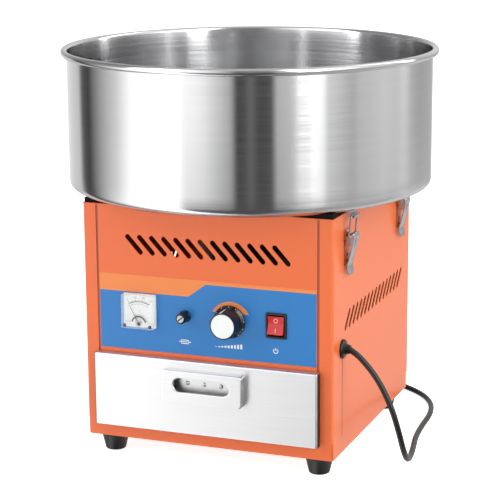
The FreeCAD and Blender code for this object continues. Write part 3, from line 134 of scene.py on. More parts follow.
# Every plain finish: its colour, how rough it is, and its grain size and height in millimetres.
plainFinishes = {
    # powder-coated mild steel, sprayed and baked: even colour, faint orange peel under a soft gloss
    "powderCoatOrange": {"colour": "#F26F38", "metallic": 0, "size": 2.2, "rough": (0.30, 0.36),
                         "swing": 0.015, "height": 0.012, "Coat Weight": 0.25, "Coat Roughness": 0.12},
    # moulded natural rubber for the feet and the gasket: black, dull sheen, mould bloom
    "mouldedRubber": {"colour": "#201F1E", "metallic": 0, "size": 3.0, "rough": (0.36, 0.5), "swing": 0.2,
                      "height": 0.01},
    # black sponge rubber, cut from sheet: bowl gasket, made near black so that it also carries the painted
    # shadow of the gap under the bowl
    "spongeRubber": {"colour": "#0C0C0C", "metallic": 0, "size": 1.0, "rough": (0.7, 0.85), "swing": 0.2,
                     "height": 0.02, "Specular IOR Level": 0.2},
    # injection-moulded black ABS with a polished tool face: deep black, clear gloss
    "blackAbs": {"colour": "#101011", "metallic": 0, "size": 1.4, "rough": (0.2, 0.28), "swing": 0.12,
                 "height": 0.003, "Coat Weight": 0.1, "Coat Roughness": 0.08},
    # black ABS from a sparked tool: bezels and housings, greyer and without a clear highlight
    "mattAbs": {"colour": "#1A1A1B", "metallic": 0, "size": 0.8, "rough": (0.42, 0.55), "swing": 0.15,
                "height": 0.01},
    # white ABS: knob insert and meter case, glossy with a faint mould flow
    "whiteAbs": {"colour": "#F8F8F8", "metallic": 0, "size": 6.0, "rough": (0.22, 0.3), "swing": 0.01,
                 "height": 0.002},
    # printing ink, screen printed: a flat, even film without gloss of its own
    "whiteInk": {"colour": "#F4F4F2", "metallic": 0, "size": 1.0, "rough": (0.4, 0.5), "swing": 0.02},
    "blackInk": {"colour": "#26262A", "metallic": 0, "size": 1.0, "rough": (0.4, 0.5), "swing": 0.05},
    "pinkInk": {"colour": "#FBC9C4", "metallic": 0, "size": 1.0, "rough": (0.35, 0.45), "swing": 0.02},
    # plasticised PVC, extruded: the lead and its moulded plug and bush, glossy black
    "cordPvc": {"colour": "#0E0E0F", "metallic": 0, "size": 5.0, "rough": (0.24, 0.34), "swing": 0.15,
                "height": 0.006},
    # bright nickel on pressed mild steel: latches, pale and softly mirroring
    "nickelSteel": {"colour": "#C6C8CC", "metallic": 1, "size": 9.0, "rough": (0.26, 0.3), "swing": 0.015},
    # the same steel, its colour a painted reddish shade with a painted reflection of the orange paint: latch
    # base plates, warm against the nickel
    "paintedShadeSteel": {"colour": "#D8947C", "metallic": 1, "size": 5.0, "rough": (0.34, 0.42), "swing": 0.06},
    # zinc-plated steel: screws, pins, rails; fine spangle
    "zincSteel": {"colour": "#B9BDC0", "metallic": 1, "size": 4.0, "rough": (0.3, 0.45), "swing": 0.08},
    # hot-dip galvanised sheet: rails and brackets, large soft grey spangle
    "galvanisedSheet": {"colour": "#AEB4B8", "metallic": 1, "size": 12.0, "rough": (0.36, 0.55), "swing": 0.12},
    # yellow brass, turned: slip rings, warm and bright
    "turnedBrass": {"colour": "#C9A45C", "metallic": 1, "size": 1.0, "rough": (0.22, 0.34), "swing": 0.05},
    # cast aluminium, machined: spinner base and cap, pale grey with a fine grain
    "castAluminium": {"colour": "#C4C5C6", "metallic": 1, "size": 1.6, "rough": (0.3, 0.42), "swing": 0.05,
                      "height": 0.01},
    # mild steel blackened in hot salts: meter cover screws, dark with a brown cast
    "blackenedSteel": {"colour": "#67625C", "metallic": 1, "size": 1.0, "rough": (0.3, 0.4), "swing": 0.06},
    # ground bright steel: shafts, plug pins and the slotted disc of the fuse cap, near a mirror
    "pinSteel": {"colour": "#C8C8C6", "metallic": 1, "size": 0.8, "rough": (0.14, 0.22), "swing": 0.03},
    # enamelled steel, sprayed: motor shell, dark grey with a low gloss
    "motorEnamel": {"colour": "#3A3D40", "metallic": 0, "size": 2.0, "rough": (0.32, 0.42), "swing": 0.08,
                    "height": 0.01},
    # stacked electrical sheet, stamped: rotor, fine level lines of dark steel
    "laminatedSteel": {"colour": "#6E6A66", "metallic": 1, "size": 0.7, "rough": (0.4, 0.55), "swing": 0.2,
                       "stretch": (0.1, 0.1, 4)},
    # sheathed heating element, oxidised by heat: dull brown-grey, blotched
    "heatedInconel": {"colour": "#6B625B", "metallic": 1, "size": 5.0, "rough": (0.4, 0.6), "swing": 0.25,
                      "height": 0.01},
    # pressed phenolic board: brush holder, regulator and terminal block, dark brown and even
    "phenolic": {"colour": "#3B2A22", "metallic": 0, "size": 1.2, "rough": (0.4, 0.55), "swing": 0.2,
                 "height": 0.004},
    # pressed carbon, ground: brushes, dull and near black; also the painted shade in the meter screw slots
    "carbon": {"colour": "#232325", "metallic": 0, "size": 0.5, "rough": (0.5, 0.7), "swing": 0.3,
               "height": 0.005},
    # glass-fibre circuit board under solder resist: even green with a soft gloss
    "circuitBoard": {"colour": "#2E6B45", "metallic": 0, "size": 0.9, "rough": (0.25, 0.4), "swing": 0.2},
    # drawn glass: tube of the fuse link, pale and very smooth
    "meterGlassTube": {"colour": "#DDE6E4", "metallic": 0, "size": 4.0, "rough": (0.05, 0.1), "swing": 0.02},
}


def makePlainFinishes(finishes):
    # Entries with a capital are the shader's own sockets; the others drive the grain.
    made = {}
    for name, look in finishes.items():
        colour = hexColour(look["colour"])
        sockets = {s: v for s, v in look.items() if s[0].isupper()}
        sockets.update({"Base Color": colour, "Metallic": look["metallic"]})
        material, tree, shader = startMaterial(name, sockets)
        addGrain(tree, shader, colour, look)
        made[name] = material
    return made


finish = makePlainFinishes(plainFinishes)

# Painted shade on the set-back lips between the corner strips and the front panel, in the narrow groove.
grooveShadeLook = {"near": -169.2, "far": -167.0, "half": 159.2, "shade": "#AD553F"}


def paintGrooveShade(material, look):
    # Painted shade: the paint turns to the shade colour between two depths, inside the corner strips.
    tree = material.node_tree
    shader = tree.nodes["Principled BSDF"]
    place = addNode(tree, "SeparateXYZ", inputs={"Vector": addNode(tree, "TexCoord").outputs["Object"]})
    side = addNode(tree, "Math", {"operation": "ABSOLUTE"}, {0: place.outputs["X"]})
    limits = ((place.outputs["Y"], "GREATER_THAN", look["near"]*0.001),
              (place.outputs["Y"], "LESS_THAN", look["far"]*0.001),
              (side.outputs[0], "LESS_THAN", look["half"]*0.001))
    tests = [addNode(tree, "Math", {"operation": kind}, {0: given, 1: limit}).outputs[0]
             for given, kind, limit in limits]
    both = addNode(tree, "Math", {"operation": "MULTIPLY"}, {0: tests[0], 1: tests[1]}).outputs[0]
    inside = addNode(tree, "Math", {"operation": "MULTIPLY"}, {0: both, 1: tests[2]}).outputs[0]
    mix = addNode(tree, "Mix", {"data_type": "RGBA"}, {"Factor": inside})
    tree.links.new(shader.inputs["Base Color"].links[0].from_socket, mix.inputs[6])
    mix.inputs[7].default_value = hexColour(look["shade"])
    tree.links.new(mix.outputs[2], shader.inputs["Base Color"])


paintGrooveShade(finish["powderCoatOrange"], grooveShadeLook)

# Stainless sheet: nickel-chrome steel with satin marks, so reflections smear across the marks.
stainlessLooks = {
    # spun and polished on a lathe: marks run round the bowl, 0.2 mm apart, drawn 1.2 mm so that they show
    "spunStainless": {"colour": "#DFDFE0", "marks": (2.5, 2.5, 820), "rough": (0.14, 0.19), "stretch": 0.92,
                      "round": True, "bump": 0.003, "swing": 0.04},
    # drawer face, handle and tray: sheet brushed along its length
    "brushedStainless": {"colour": "#E3E3E4", "marks": (14, 400, 900), "rough": (0.30, 0.38), "stretch": 0.5,
                         "round": False, "bump": 0.008, "swing": 0.04},
}


def makeStainless(name, look):
    # Noise drawn out along the marks drives roughness, bump and tint; the tangent lies across them.
    colour = hexColour(look["colour"])
    material, tree, shader = startMaterial(name, {"Base Color": colour, "Metallic": 1.0,
                                                  "Anisotropic": look["stretch"]})
    where = addNode(tree, "TexCoord").outputs["Object"]
    lines = addNode(tree, "Mapping", inputs={"Vector": where, "Scale": look["marks"]})
    noise = addNode(tree, "TexNoise", inputs={"Vector": lines.outputs[0], "Scale": 1.0, "Detail": 2.0})
    low, high = look["rough"]
    rough = addNode(tree, "MapRange", inputs={"Value": noise.outputs["Fac"], "From Min": 0.3, "From Max": 0.7,
                                              "To Min": low, "To Max": high})
    tree.links.new(rough.outputs["Result"], shader.inputs["Roughness"])
    bump = addNode(tree, "Bump", inputs={"Height": noise.outputs["Fac"], "Strength": 0.25,
                                         "Distance": look["bump"]*0.001})
    tree.links.new(bump.outputs["Normal"], shader.inputs["Normal"])
    shades = [(0.3, (*[c*(1 - look["swing"]) for c in colour[:3]], 1)), (0.7, colour)]
    tint = fillRamp(addNode(tree, "ValToRGB", inputs={"Fac": noise.outputs["Fac"]}), shades)
    tree.links.new(tint.outputs["Color"], shader.inputs["Base Color"])
    normal = addNode(tree, "NewGeometry").outputs["Normal"]
    if look["round"]:  # marks lie round the Z axis, the smear goes across them
        split = addNode(tree, "SeparateXYZ", inputs={"Vector": where})
        back = addNode(tree, "Math", {"operation": "MULTIPLY"}, {0: split.outputs["Y"], 1: -1.0})
        along = addNode(tree, "CombineXYZ", inputs={"X": back.outputs[0], "Y": split.outputs["X"]}).outputs[0]
    else:
        # a slight lean keeps the direction defined on faces that look along the marks
        along = addNode(tree, "CombineXYZ", inputs={"X": 1.0, "Z": 0.08}).outputs[0]
    across = addNode(tree, "VectorMath", {"operation": "CROSS_PRODUCT"}, {0: normal, 1: along})
    tree.links.new(across.outputs["Vector"], shader.inputs["Tangent"])
    return material


for kind, look in stainlessLooks.items():
    finish[kind] = makeStainless(kind, look)

# Polyester control overlay, printed from behind: blue field with a stepped top edge on light orange.
labelLook = {"blue": "#237BC6", "orange": "#F68B48", "stepFrom": -25.5, "stepTo": 0.0, "lowTop": 234.9,
             "highTop": 253.4, "arcMiddle": (35.0, 203.6), "arcRadius": 29.4, "arcInner": (33.3, 203.6),
             "arcInnerRadius": 24.2, "arcFoot": 217.5}


def makeLabel(look):
    # Blue lies under an edge that steps up to the right, less the crescent between two circles.
    material, tree, shader = startMaterial("printedPolyester", {"Roughness": 0.32, "Coat Weight": 0.2,
                                                                "Coat Roughness": 0.1})
    place = addNode(tree, "TexCoord").outputs["Object"]
    split = addNode(tree, "SeparateXYZ", inputs={"Vector": place})
    x, z = split.outputs["X"], split.outputs["Z"]
    top = addNode(tree, "MapRange", inputs={"Value": x, "From Min": look["stepFrom"]*0.001,
                                            "From Max": look["stepTo"]*0.001, "To Min": look["lowTop"]*0.001,
                                            "To Max": look["highTop"]*0.001})
    inBlue = addNode(tree, "Math", {"operation": "LESS_THAN"}, {0: z, 1: top.outputs["Result"]})
    flat = addNode(tree, "CombineXYZ", inputs={"X": x, "Z": z}).outputs[0]
    masks = []
    for middle, radius, kind in ((look["arcMiddle"], look["arcRadius"], "LESS_THAN"),
                                 (look["arcInner"], look["arcInnerRadius"], "GREATER_THAN")):
        centre = (middle[0]*0.001, 0, middle[1]*0.001)
        far = addNode(tree, "VectorMath", {"operation": "DISTANCE"}, {0: flat, 1: centre})
        masks.append(addNode(tree, "Math", {"operation": kind}, {0: far.outputs["Value"], 1: radius*0.001}))
    masks.append(addNode(tree, "Math", {"operation": "GREATER_THAN"}, {0: z, 1: look["arcFoot"]*0.001}))
    inArc = masks[0]
    for mask in masks[1:]:
        inArc = addNode(tree, "Math", {"operation": "MULTIPLY"}, {0: inArc.outputs[0], 1: mask.outputs[0]})
    blueOnly = addNode(tree, "Math", {"operation": "SUBTRACT", "use_clamp": True},
                       {0: inBlue.outputs[0], 1: inArc.outputs[0]})
    noise = addNode(tree, "TexNoise", inputs={"Vector": place, "Scale": 30.0, "Detail": 4.0})
    shift = addNode(tree, "MapRange", inputs={"Value": noise.outputs["Fac"], "To Min": 0.96, "To Max": 1.04})
    mix = addNode(tree, "Mix", {"data_type": "RGBA"}, {"Factor": blueOnly.outputs[0]})
    mix.inputs[6].default_value = hexColour(look["orange"])
    mix.inputs[7].default_value = hexColour(look["blue"])
    shade = addNode(tree, "Mix", {"data_type": "RGBA", "blend_type": "MULTIPLY"}, {"Factor": 1.0})
    tree.links.new(mix.outputs[2], shade.inputs[6])
    tree.links.new(shift.outputs["Result"], shade.inputs[7])
    tree.links.new(shade.outputs[2], shader.inputs["Base Color"])
    return material


finish["printedPolyester"] = makeLabel(labelLook)


def makeClear(name, colour, sockets):
    # Clear mouldings: mostly see-through, polished faces with very fine scratches in the roughness.
    material, tree, shader = startMaterial(name, {"Base Color": hexColour(colour), **sockets})
    place = addNode(tree, "TexCoord").outputs["Object"]
    noise = addNode(tree, "TexNoise", inputs={"Vector": place, "Scale": 260.0, "Detail": 2.0})
    rough = addNode(tree, "MapRange", inputs={"Value": noise.outputs["Fac"], "To Min": 0.03, "To Max": 0.08})
    tree.links.new(rough.outputs["Result"], shader.inputs["Roughness"])
    return material


# moulded acrylic meter cover, polished face
finish["clearAcrylic"] = makeClear("clearAcrylic", "#E8E9F6", {"Alpha": 0.04, "IOR": 1.49})
# the same acrylic, frosted on the inside of its walls
finish["frostedAcrylic"] = makeClear("frostedAcrylic", "#FFFFFF", {"Alpha": 0.2, "IOR": 1.49})


def makeRockerRed(name):
    # Red polycarbonate rocker: light sinks a little into it, so its thick middle glows.
    colour = hexColour("#CF1A24")
    material, tree, shader = startMaterial(name, {"Base Color": colour, "Subsurface Weight": 0.2,
                                                  "Subsurface Radius": (0.004, 0.0008, 0.0006),
                                                  "Coat Weight": 0.4, "Coat Roughness": 0.08})
    addGrain(tree, shader, colour, {"size": 3.0, "rough": (0.2, 0.28), "swing": 0.06, "height": 0.003})
    return material


finish["redPolycarbonate"] = makeRockerRed("redPolycarbonate")

print("stage: materials made,", len(finish))


def toAxis(a, b, depth, centre, axis):
    # Turns two coordinates across an axis and one along it into places, the axis through the centre.
    turned = {"z": (a, b, depth), "-y": (a, -depth, b), "x": (depth, a, b), "-x": (-depth, a, b)}[axis]
    return np.stack([part + shift for part, shift in zip(turned, centre)], -1)


def gridShell(points, wrapRows=False, wrapColumns=True):
    # Faces join each point of a grid to its neighbours in the next row and the next column.
    rows, columns = points.shape[:2]
    index = np.arange(rows*columns).reshape(rows, columns)
    if wrapRows:
        index = np.vstack([index, index[:1]])
    if wrapColumns:
        index = np.hstack([index, index[:, :1]])
    quads = np.stack([index[:-1, :-1], index[:-1, 1:], index[1:, 1:], index[1:, :-1]], -1)
    return points.reshape(-1, 3), quads.reshape(-1, 4)


def revolve(profile, centre=(0, 0, 0), axis="z", steps=64, wrap=False, flutes=None):
    # Each (radius, height) of the profile goes round the axis; flutes add a wave to chosen radii.
    radius, height = np.asarray(profile, float).T
    turn = np.linspace(0, 2*math.pi, steps, endpoint=False)
    spread = radius[:, None] + np.zeros_like(turn)
    if flutes:
        count, depth, low, high = flutes
        inside = ((height >= low) & (height <= high) & (radius > 0))[:, None]
        spread = spread - inside*depth*(0.5 + 0.5*np.cos(count*turn))**2
    return gridShell(toAxis(spread*np.cos(turn), spread*np.sin(turn),
                            height[:, None] + np.zeros_like(turn), centre, axis), wrapRows=wrap)


def rectRows(rows, centre=(0, 0, 0), axis="-y", cornerSteps=6, wrap=False):
    # Each row (width, height, corner radius, depth, shift across, shift up) is a rounded rectangle.
    rows = np.array([list(row) + [0]*(6 - len(row)) for row in rows], float)
    width, height, corner, depth, across, up = [rows[:, i, None] for i in range(6)]
    corner = np.minimum(corner, np.minimum(width, height)/2)
    turn = np.concatenate([np.linspace(k, k + 1, cornerSteps + 1) for k in range(4)])*math.pi/2
    signU = np.repeat([1, -1, -1, 1], cornerSteps + 1)
    signV = np.repeat([1, 1, -1, -1], cornerSteps + 1)
    u = signU*(width/2 - corner) + corner*np.cos(turn) + across
    v = signV*(height/2 - corner) + corner*np.sin(turn) + up
    return gridShell(toAxis(u, v, depth + 0*u, centre, axis), wrapRows=wrap)


def blockRows(width, height, corner, start, end, edge, steps=4):
    # A block between two depths whose front and back edges are quarter rounds, closed at both middles.
    turn = np.linspace(0, math.pi/2, steps)
    inset, lift = edge*(1 - np.sin(turn)), edge*(1 - np.cos(turn))*(1 if end > start else -1)
    inner = min(1.3*edge, 0.4*min(width, height))
    insets = np.concatenate([[inner], inset, inset[::-1], [inner]])
    depths = np.concatenate([[start], start + lift, end - lift[::-1], [end]])
    rows = [(0, 0, 0, start)]
    rows += [(width - 2*i, height - 2*i, max(corner - i, 0.05), d) for i, d in zip(insets, depths)]
    return rows + [(0, 0, 0, end)]


def softPath(points, times=3):
    # Cuts each corner of a path a quarter along its runs, again and again, which rounds it.
    path = np.asarray(points, float)
    for _ in range(times):
        near, far = 0.75*path[:-1] + 0.25*path[1:], 0.25*path[:-1] + 0.75*path[1:]
        path = np.concatenate([path[:1], np.stack([near, far], 1).reshape(-1, path.shape[1]), path[-1:]])
    return path


def tube(path, radius, steps=12, reference=(0, 0, 1)):
    # A circle carried along a path, square to it, closed at both ends by a point at its middle.
    path = np.asarray(path, float)
    ahead = np.gradient(path, axis=0)
    ahead /= np.linalg.norm(ahead, axis=1)[:, None]
    side = np.cross(ahead, reference)
    side /= np.linalg.norm(side, axis=1)[:, None]
    lift = np.cross(side, ahead)
    turn = np.linspace(0, 2*math.pi, steps, endpoint=False)[None, :, None]
    radius = np.broadcast_to(np.asarray(radius, float), (len(path),))[:, None, None]
    rings = path[:, None] + radius*(np.cos(turn)*side[:, None] + np.sin(turn)*lift[:, None])
    ends = [np.repeat(path[k][None, None], steps, 1) for k in (0, -1)]
    return gridShell(np.concatenate([ends[0], rings, ends[1]]))


def strip(path, width, thickness, place):
    # A rounded flat section carried along a path of (out, up), its width across the path.
    path = np.asarray(path, float)
    ahead = np.gradient(path, axis=0)
    ahead /= np.linalg.norm(ahead, axis=1)[:, None]
    square = np.stack([ahead[:, 1], -ahead[:, 0]], 1)
    width = np.broadcast_to(np.asarray(width, float), (len(path),))[:, None]
    corner = thickness*0.4
    turn = np.concatenate([np.linspace(k, k + 1, 4) for k in range(4)])*math.pi/2
    u = np.repeat([1, -1, -1, 1], 4)*(width/2 - corner) + corner*np.cos(turn)
    v = np.repeat([1, 1, -1, -1], 4)*(thickness/2 - corner) + corner*np.sin(turn) + 0*width
    out = path[:, :1] + v*square[:, :1]
    up = path[:, 1:] + v*square[:, 1:]
    ends = [np.stack([np.full((1, 16), path[k, 0]), np.zeros((1, 16)), np.full((1, 16), path[k, 1])], -1)
            for k in (0, -1)]
    return place(gridShell(np.concatenate([ends[0], np.stack([out, u, up], -1), ends[1]])))


def plate(outline, start, end, place, edge=0.25):
    # A flat sheet of any plain outline of (out, up) between two values across, its edges eased.
    outline = np.asarray(outline, float)
    middle = outline.mean(0)
    shrink = 1 - edge/np.abs(outline - middle).max()
    rows = [(0, start), (0.97*shrink, start), (shrink, start), (1, start + edge), (1, end - edge),
            (shrink, end), (0.97*shrink, end), (0, end)]
    flat = [np.stack([middle[0] + s*(outline[:, 0] - middle[0]), np.full(len(outline), y),
                      middle[1] + s*(outline[:, 1] - middle[1])], -1) for s, y in rows]
    return place(gridShell(np.array(flat)))


def makePiece(name, shells, materials, body="root", replaced=(), sharp=32):
    # Joins shells, each with a material number of its own, into one closed, outward-facing object.
    if not isinstance(materials, (list, tuple)):
        materials = [materials]
    shells = [s if len(s) == 3 else (*s, 0) for s in shells]
    starts = np.cumsum([0] + [len(s[0]) for s in shells])
    points = np.concatenate([s[0] for s in shells])*0.001
    faces = np.concatenate([s[1] + start for s, start in zip(shells, starts)])
    numbers = np.concatenate([np.full(len(s[1]), s[2]) for s in shells])
    mesh = bpy.data.meshes.new(name)
    mesh.from_pydata(points.tolist(), [], faces.tolist())
    mesh.polygons.foreach_set("material_index", numbers)
    for material in materials:
        mesh.materials.append(finish[material])
    work = bmesh.new()
    work.from_mesh(mesh)
    bmesh.ops.remove_doubles(work, verts=work.verts, dist=1e-6)
    bmesh.ops.recalc_face_normals(work, faces=work.faces)
    work.to_mesh(mesh)
    work.free()
    mesh.polygons.foreach_set("use_smooth", np.ones(len(mesh.polygons), bool))
    mesh.set_sharp_from_angle(angle=math.radians(sharp))
    piece = bpy.data.objects.new(name, mesh)
    scene.collection.objects.link(piece)
    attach(piece, body)
    if replaced:
        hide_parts(*replaced)
    return piece


def textShells(text, size, place, thickness=0.08):
    # A flat word made a mesh, its triangles kept, and moved by place from (across, up) to the surface.
    curve = bpy.data.curves.new("mark", "FONT")
    curve.body = text
    curve.size = size
    curve.align_x = "CENTER"
    curve.align_y = "CENTER"
    curve.extrude = thickness/2
    holder = bpy.data.objects.new("mark", curve)
    mesh = bpy.data.meshes.new_from_object(holder)
    points = np.empty(len(mesh.vertices)*3)
    mesh.vertices.foreach_get("co", points)
    mesh.calc_loop_triangles()
    corners = np.empty(len(mesh.loop_triangles)*3, int)
    mesh.loop_triangles.foreach_get("vertices", corners)
    corners = corners.reshape(-1, 3)
    bpy.data.objects.remove(holder)
    points = points.reshape(-1, 3)
    return place(points[:, 0], points[:, 1], points[:, 2]), np.hstack([corners, corners[:, 2:]])


# Mains lead: strain relief, cord, coil and plug.
cordRoute = [
    (184, -131, 174), (197, -131, 167.2), (211, -131, 153.8), (224.5, -131, 137.6), (236, -130.5, 118.5),
    (248, -129.5, 91.5), (256, -126, 60.5), (258.5, -114, 34), (257, -92, 14), (253, -62, 4.8),
    (246, -20, 4.2), (236, 28, 4.3), (231, 82, 4.2), (229, 136, 4.3), (217, 186, 4.2), (190, 228, 4.3),
    (143, 263, 4.2), (102.1, 297.7, 4.2),
]
coilLook = {"middle": (70.0, 262.0), "outer": 48.0, "inner": 40.0, "low": 4.1, "high": 11.6, "perTurn": 18,
            "first": 48.0, "turns": 3.117,
            "tail": [(62.0, 306.0, 12.6), (48.0, 306.0, 13.0), (32.0, 306.0, 13.2)]}


def coilPoints(look):
    # Two turns on the floor, the outer then the inner, and one lying on them, each a circle in points.
    stops = [(0, look["outer"], look["low"]), (0.9, look["outer"], look["low"]),
             (1.1, look["inner"], look["low"]), (1.86, look["inner"], look["low"]),
             (2.1, (look["outer"] + look["inner"])/2, look["high"]),
             (3.12, (look["outer"] + look["inner"])/2, look["high"])]
    along = np.arange(1, int(look["turns"]*look["perTurn"]) + 1)/look["perTurn"]
    at, radii, heights = np.array(stops).T
    angle = np.radians(look["first"]) + 2*math.pi*along
    radius, height = np.interp(along, at, radii), np.interp(along, at, heights)
    x, y = look["middle"][0] + radius*np.cos(angle), look["middle"][1] + radius*np.sin(angle)
    return np.stack([x, y, height], 1).tolist()


def makeCord(route, look):
    # A smooth curve with a round section follows the fall, the floor, the coil and the tail.
    points = route + coilPoints(look) + look["tail"]
    curve = bpy.data.curves.new("mainsCord", "CURVE")
    curve.dimensions = "3D"
    spline = curve.splines.new("NURBS")
    spline.points.add(len(points) - 1)
    for point, (x, y, z) in zip(spline.points, points):
        point.co = (x*0.001, y*0.001, z*0.001, 1)
    spline.order_u = 3
    spline.use_endpoint_u = True
    curve.resolution_u = 8
    curve.bevel_depth = 0.004
    curve.bevel_resolution = 5
    curve.use_fill_caps = True
    curve.materials.append(finish["cordPvc"])
    cord = bpy.data.objects.new("mainsCord", curve)
    scene.collection.objects.link(cord)
    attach(cord, "root")
    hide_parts("power_cord", "cord_coil")
    return cord


cordPiece = makeCord(cordRoute, coilLook)

reliefLook = {"place": (178, -131, 171.5), "flange": 13.0, "dome": 4.5, "neck": 9.0, "noseEnd": 12.0,
              "noseWide": 7.6, "noseTip": 5.6, "inside": -10.2}


def makeStrainRelief(look):
    # Snap bush: split collar inside the sheet, domed flange outside and a tapering ribbed nose.
    turn = np.linspace(0, math.pi/2, 7)
    dome = np.stack([look["flange"] - 4.5*(1 - np.cos(turn)), 1.6 + (look["dome"] - 1.6)*np.sin(turn)], 1)
    along = np.linspace(0, 1, 25)
    nose = np.stack([look["noseWide"] + (look["noseTip"] - look["noseWide"])*along
                     - 0.45*(np.sin(along*6*math.pi) < -0.2), look["dome"] + 0.3
                     + (look["noseEnd"] - look["dome"] - 0.8)*along], 1)
    profile = [(0, look["inside"]), (look["neck"] - 1.6, look["inside"]),
               (look["neck"] - 1, look["inside"] + 0.8), (look["neck"] + 1, -1.4), (look["neck"], -1.2),
               (look["neck"], 0), (look["flange"], 0), *dome, (look["noseWide"] + 0.4, look["dome"]), *nose,
               (look["noseTip"] - 0.8, look["noseEnd"]), (0, look["noseEnd"])]
    return makePiece("strainRelief", [revolve(profile, look["place"], "x", 56)], "cordPvc",
                     replaced=["strain_relief"])


makeStrainRelief(reliefLook)

plugLook = {"nose": (32.0, 306.0, 13.2), "body": 42.0, "radius": 12.8, "pinGap": 19.0, "pin": 2.4,
            "pinLength": 18.6}


def makePlug(look):
    # Moulded two-pin plug: ribbed sleeve, waisted grip with finger flutes, flat face and two round pins.
    along = np.linspace(0, 1, 40)
    sleeve = 5.2 + 1.2*along - 0.5*(np.sin(along*8*math.pi) < -0.3)
    grip = (look["radius"]*(0.72 + 0.28*np.sin(np.clip(along*1.5, 0, 1)*math.pi/2))
            - 1.2*np.sin(along*math.pi)**2)
    profile = [(0, 0), *np.stack([sleeve, 12*along], 1), *np.stack([grip, 12.5 + 28.3*along], 1),
               (look["radius"] - 1.2, look["body"]), (0, look["body"])]
    shells = [(*revolve(profile, look["nose"], "-x", 48, flutes=(12, 0.9, 16, 36)), 0)]
    pin = [(0, 0), (look["pin"], 0), (look["pin"], look["pinLength"] - 1.6),
           (look["pin"]*0.75, look["pinLength"] - 0.5), (0, look["pinLength"])]
    for side in (-1, 1):
        start = (look["nose"][0] - look["body"], look["nose"][1] + side*look["pinGap"]/2, look["nose"][2])
        shells.append((*revolve(pin, start, "-x", 24), 1))
    return makePiece("mainsPlug", shells, ["cordPvc", "pinSteel"], replaced=["mains_plug"])


plugPiece = makePlug(plugLook)
print("stage: mains lead made")


# Cabinet: the sheet metal keeps its CAD shape and takes the paint.
painted = ["base_tray", "front_panel", "left_side_panel", "right_side_panel", "rear_panel", "top_plate"]
carried = {
    "powderCoatOrange": painted, "printedPolyester": ["control_label"], "spongeRubber": ["bowl_gasket"],
    "mouldedRubber": ["motor_dampers"], "brushedStainless": ["drawer_tray"],
    "galvanisedSheet": ["drawer_rails", "drawer_shelf", "motor_bracket"],
    "zincSteel": ["cabinet_screws", "spinner_bolts"], "motorEnamel": ["motor_housing"],
    "pinSteel": ["shaft_bearings", "drive_shaft", "regulator_shaft"], "laminatedSteel": ["motor_rotor"],
    "turnedBrass": ["slip_rings"], "phenolic": ["brush_holder", "power_regulator", "terminal_block"],
    "carbon": ["carbon_brushes"], "heatedInconel": ["heater_coil"], "circuitBoard": ["control_board"],
    "meterGlassTube": ["fuse_link"], "spunStainless": ["spinner_screen"],
}


def dressNodes(table):
    # Each node in the table keeps its CAD shape and takes one finish.
    for material, names in table.items():
        for name in names:
            slots = nodes[name].data.materials
            slots.clear()
            slots.append(finish[material])


dressNodes(carried)

footLook = {"places": [(x, y) for x in (-150, 150) for y in (-142, 158)], "top": 20.0, "bottom": 14.5,
            "height": 26.9, "recess": 6.0, "recessDepth": 12.0}


def makeFeet(look):
    # Tapered bumper foot with a rounded tread, a flat collar under the tray and a screw recess.
    turn = np.linspace(0, math.pi/2, 6)
    tread = np.stack([look["bottom"] - 3 + 3*np.sin(turn), 3 - 3*np.cos(turn)], 1)
    profile = [(look["recess"], look["recessDepth"]), (look["recess"], 0.8), (look["recess"] + 0.8, 0),
               *tread, (look["top"] - 0.9, look["height"] - 4.5), (look["top"], look["height"] - 3.6),
               (look["top"], look["height"] - 0.4), (look["top"] - 0.4, look["height"]),
               (2.7, look["height"]), (2.7, look["recessDepth"])]
    shells = [revolve(profile, (x, y, 0), "z", 64, wrap=True) for x, y in look["places"]]
    return makePiece("bumperFeet", shells, "mouldedRubber", replaced=["rubber_feet"])


makeFeet(footLook)
print("stage: cabinet dressed")


# Bowl: spun sheet with a rolled rim.
bowlLook = {"base": 360.0, "sheet": 1.2, "hole": 48.0, "collar": 375.5, "step": 236.0, "rise": 3.0,
            "corner": 10.0, "wall": 251.6, "bead": 4.8, "beadMiddle": (255.2, 547.7), "beadFrom": -138.6,
            "soft": 0.8}


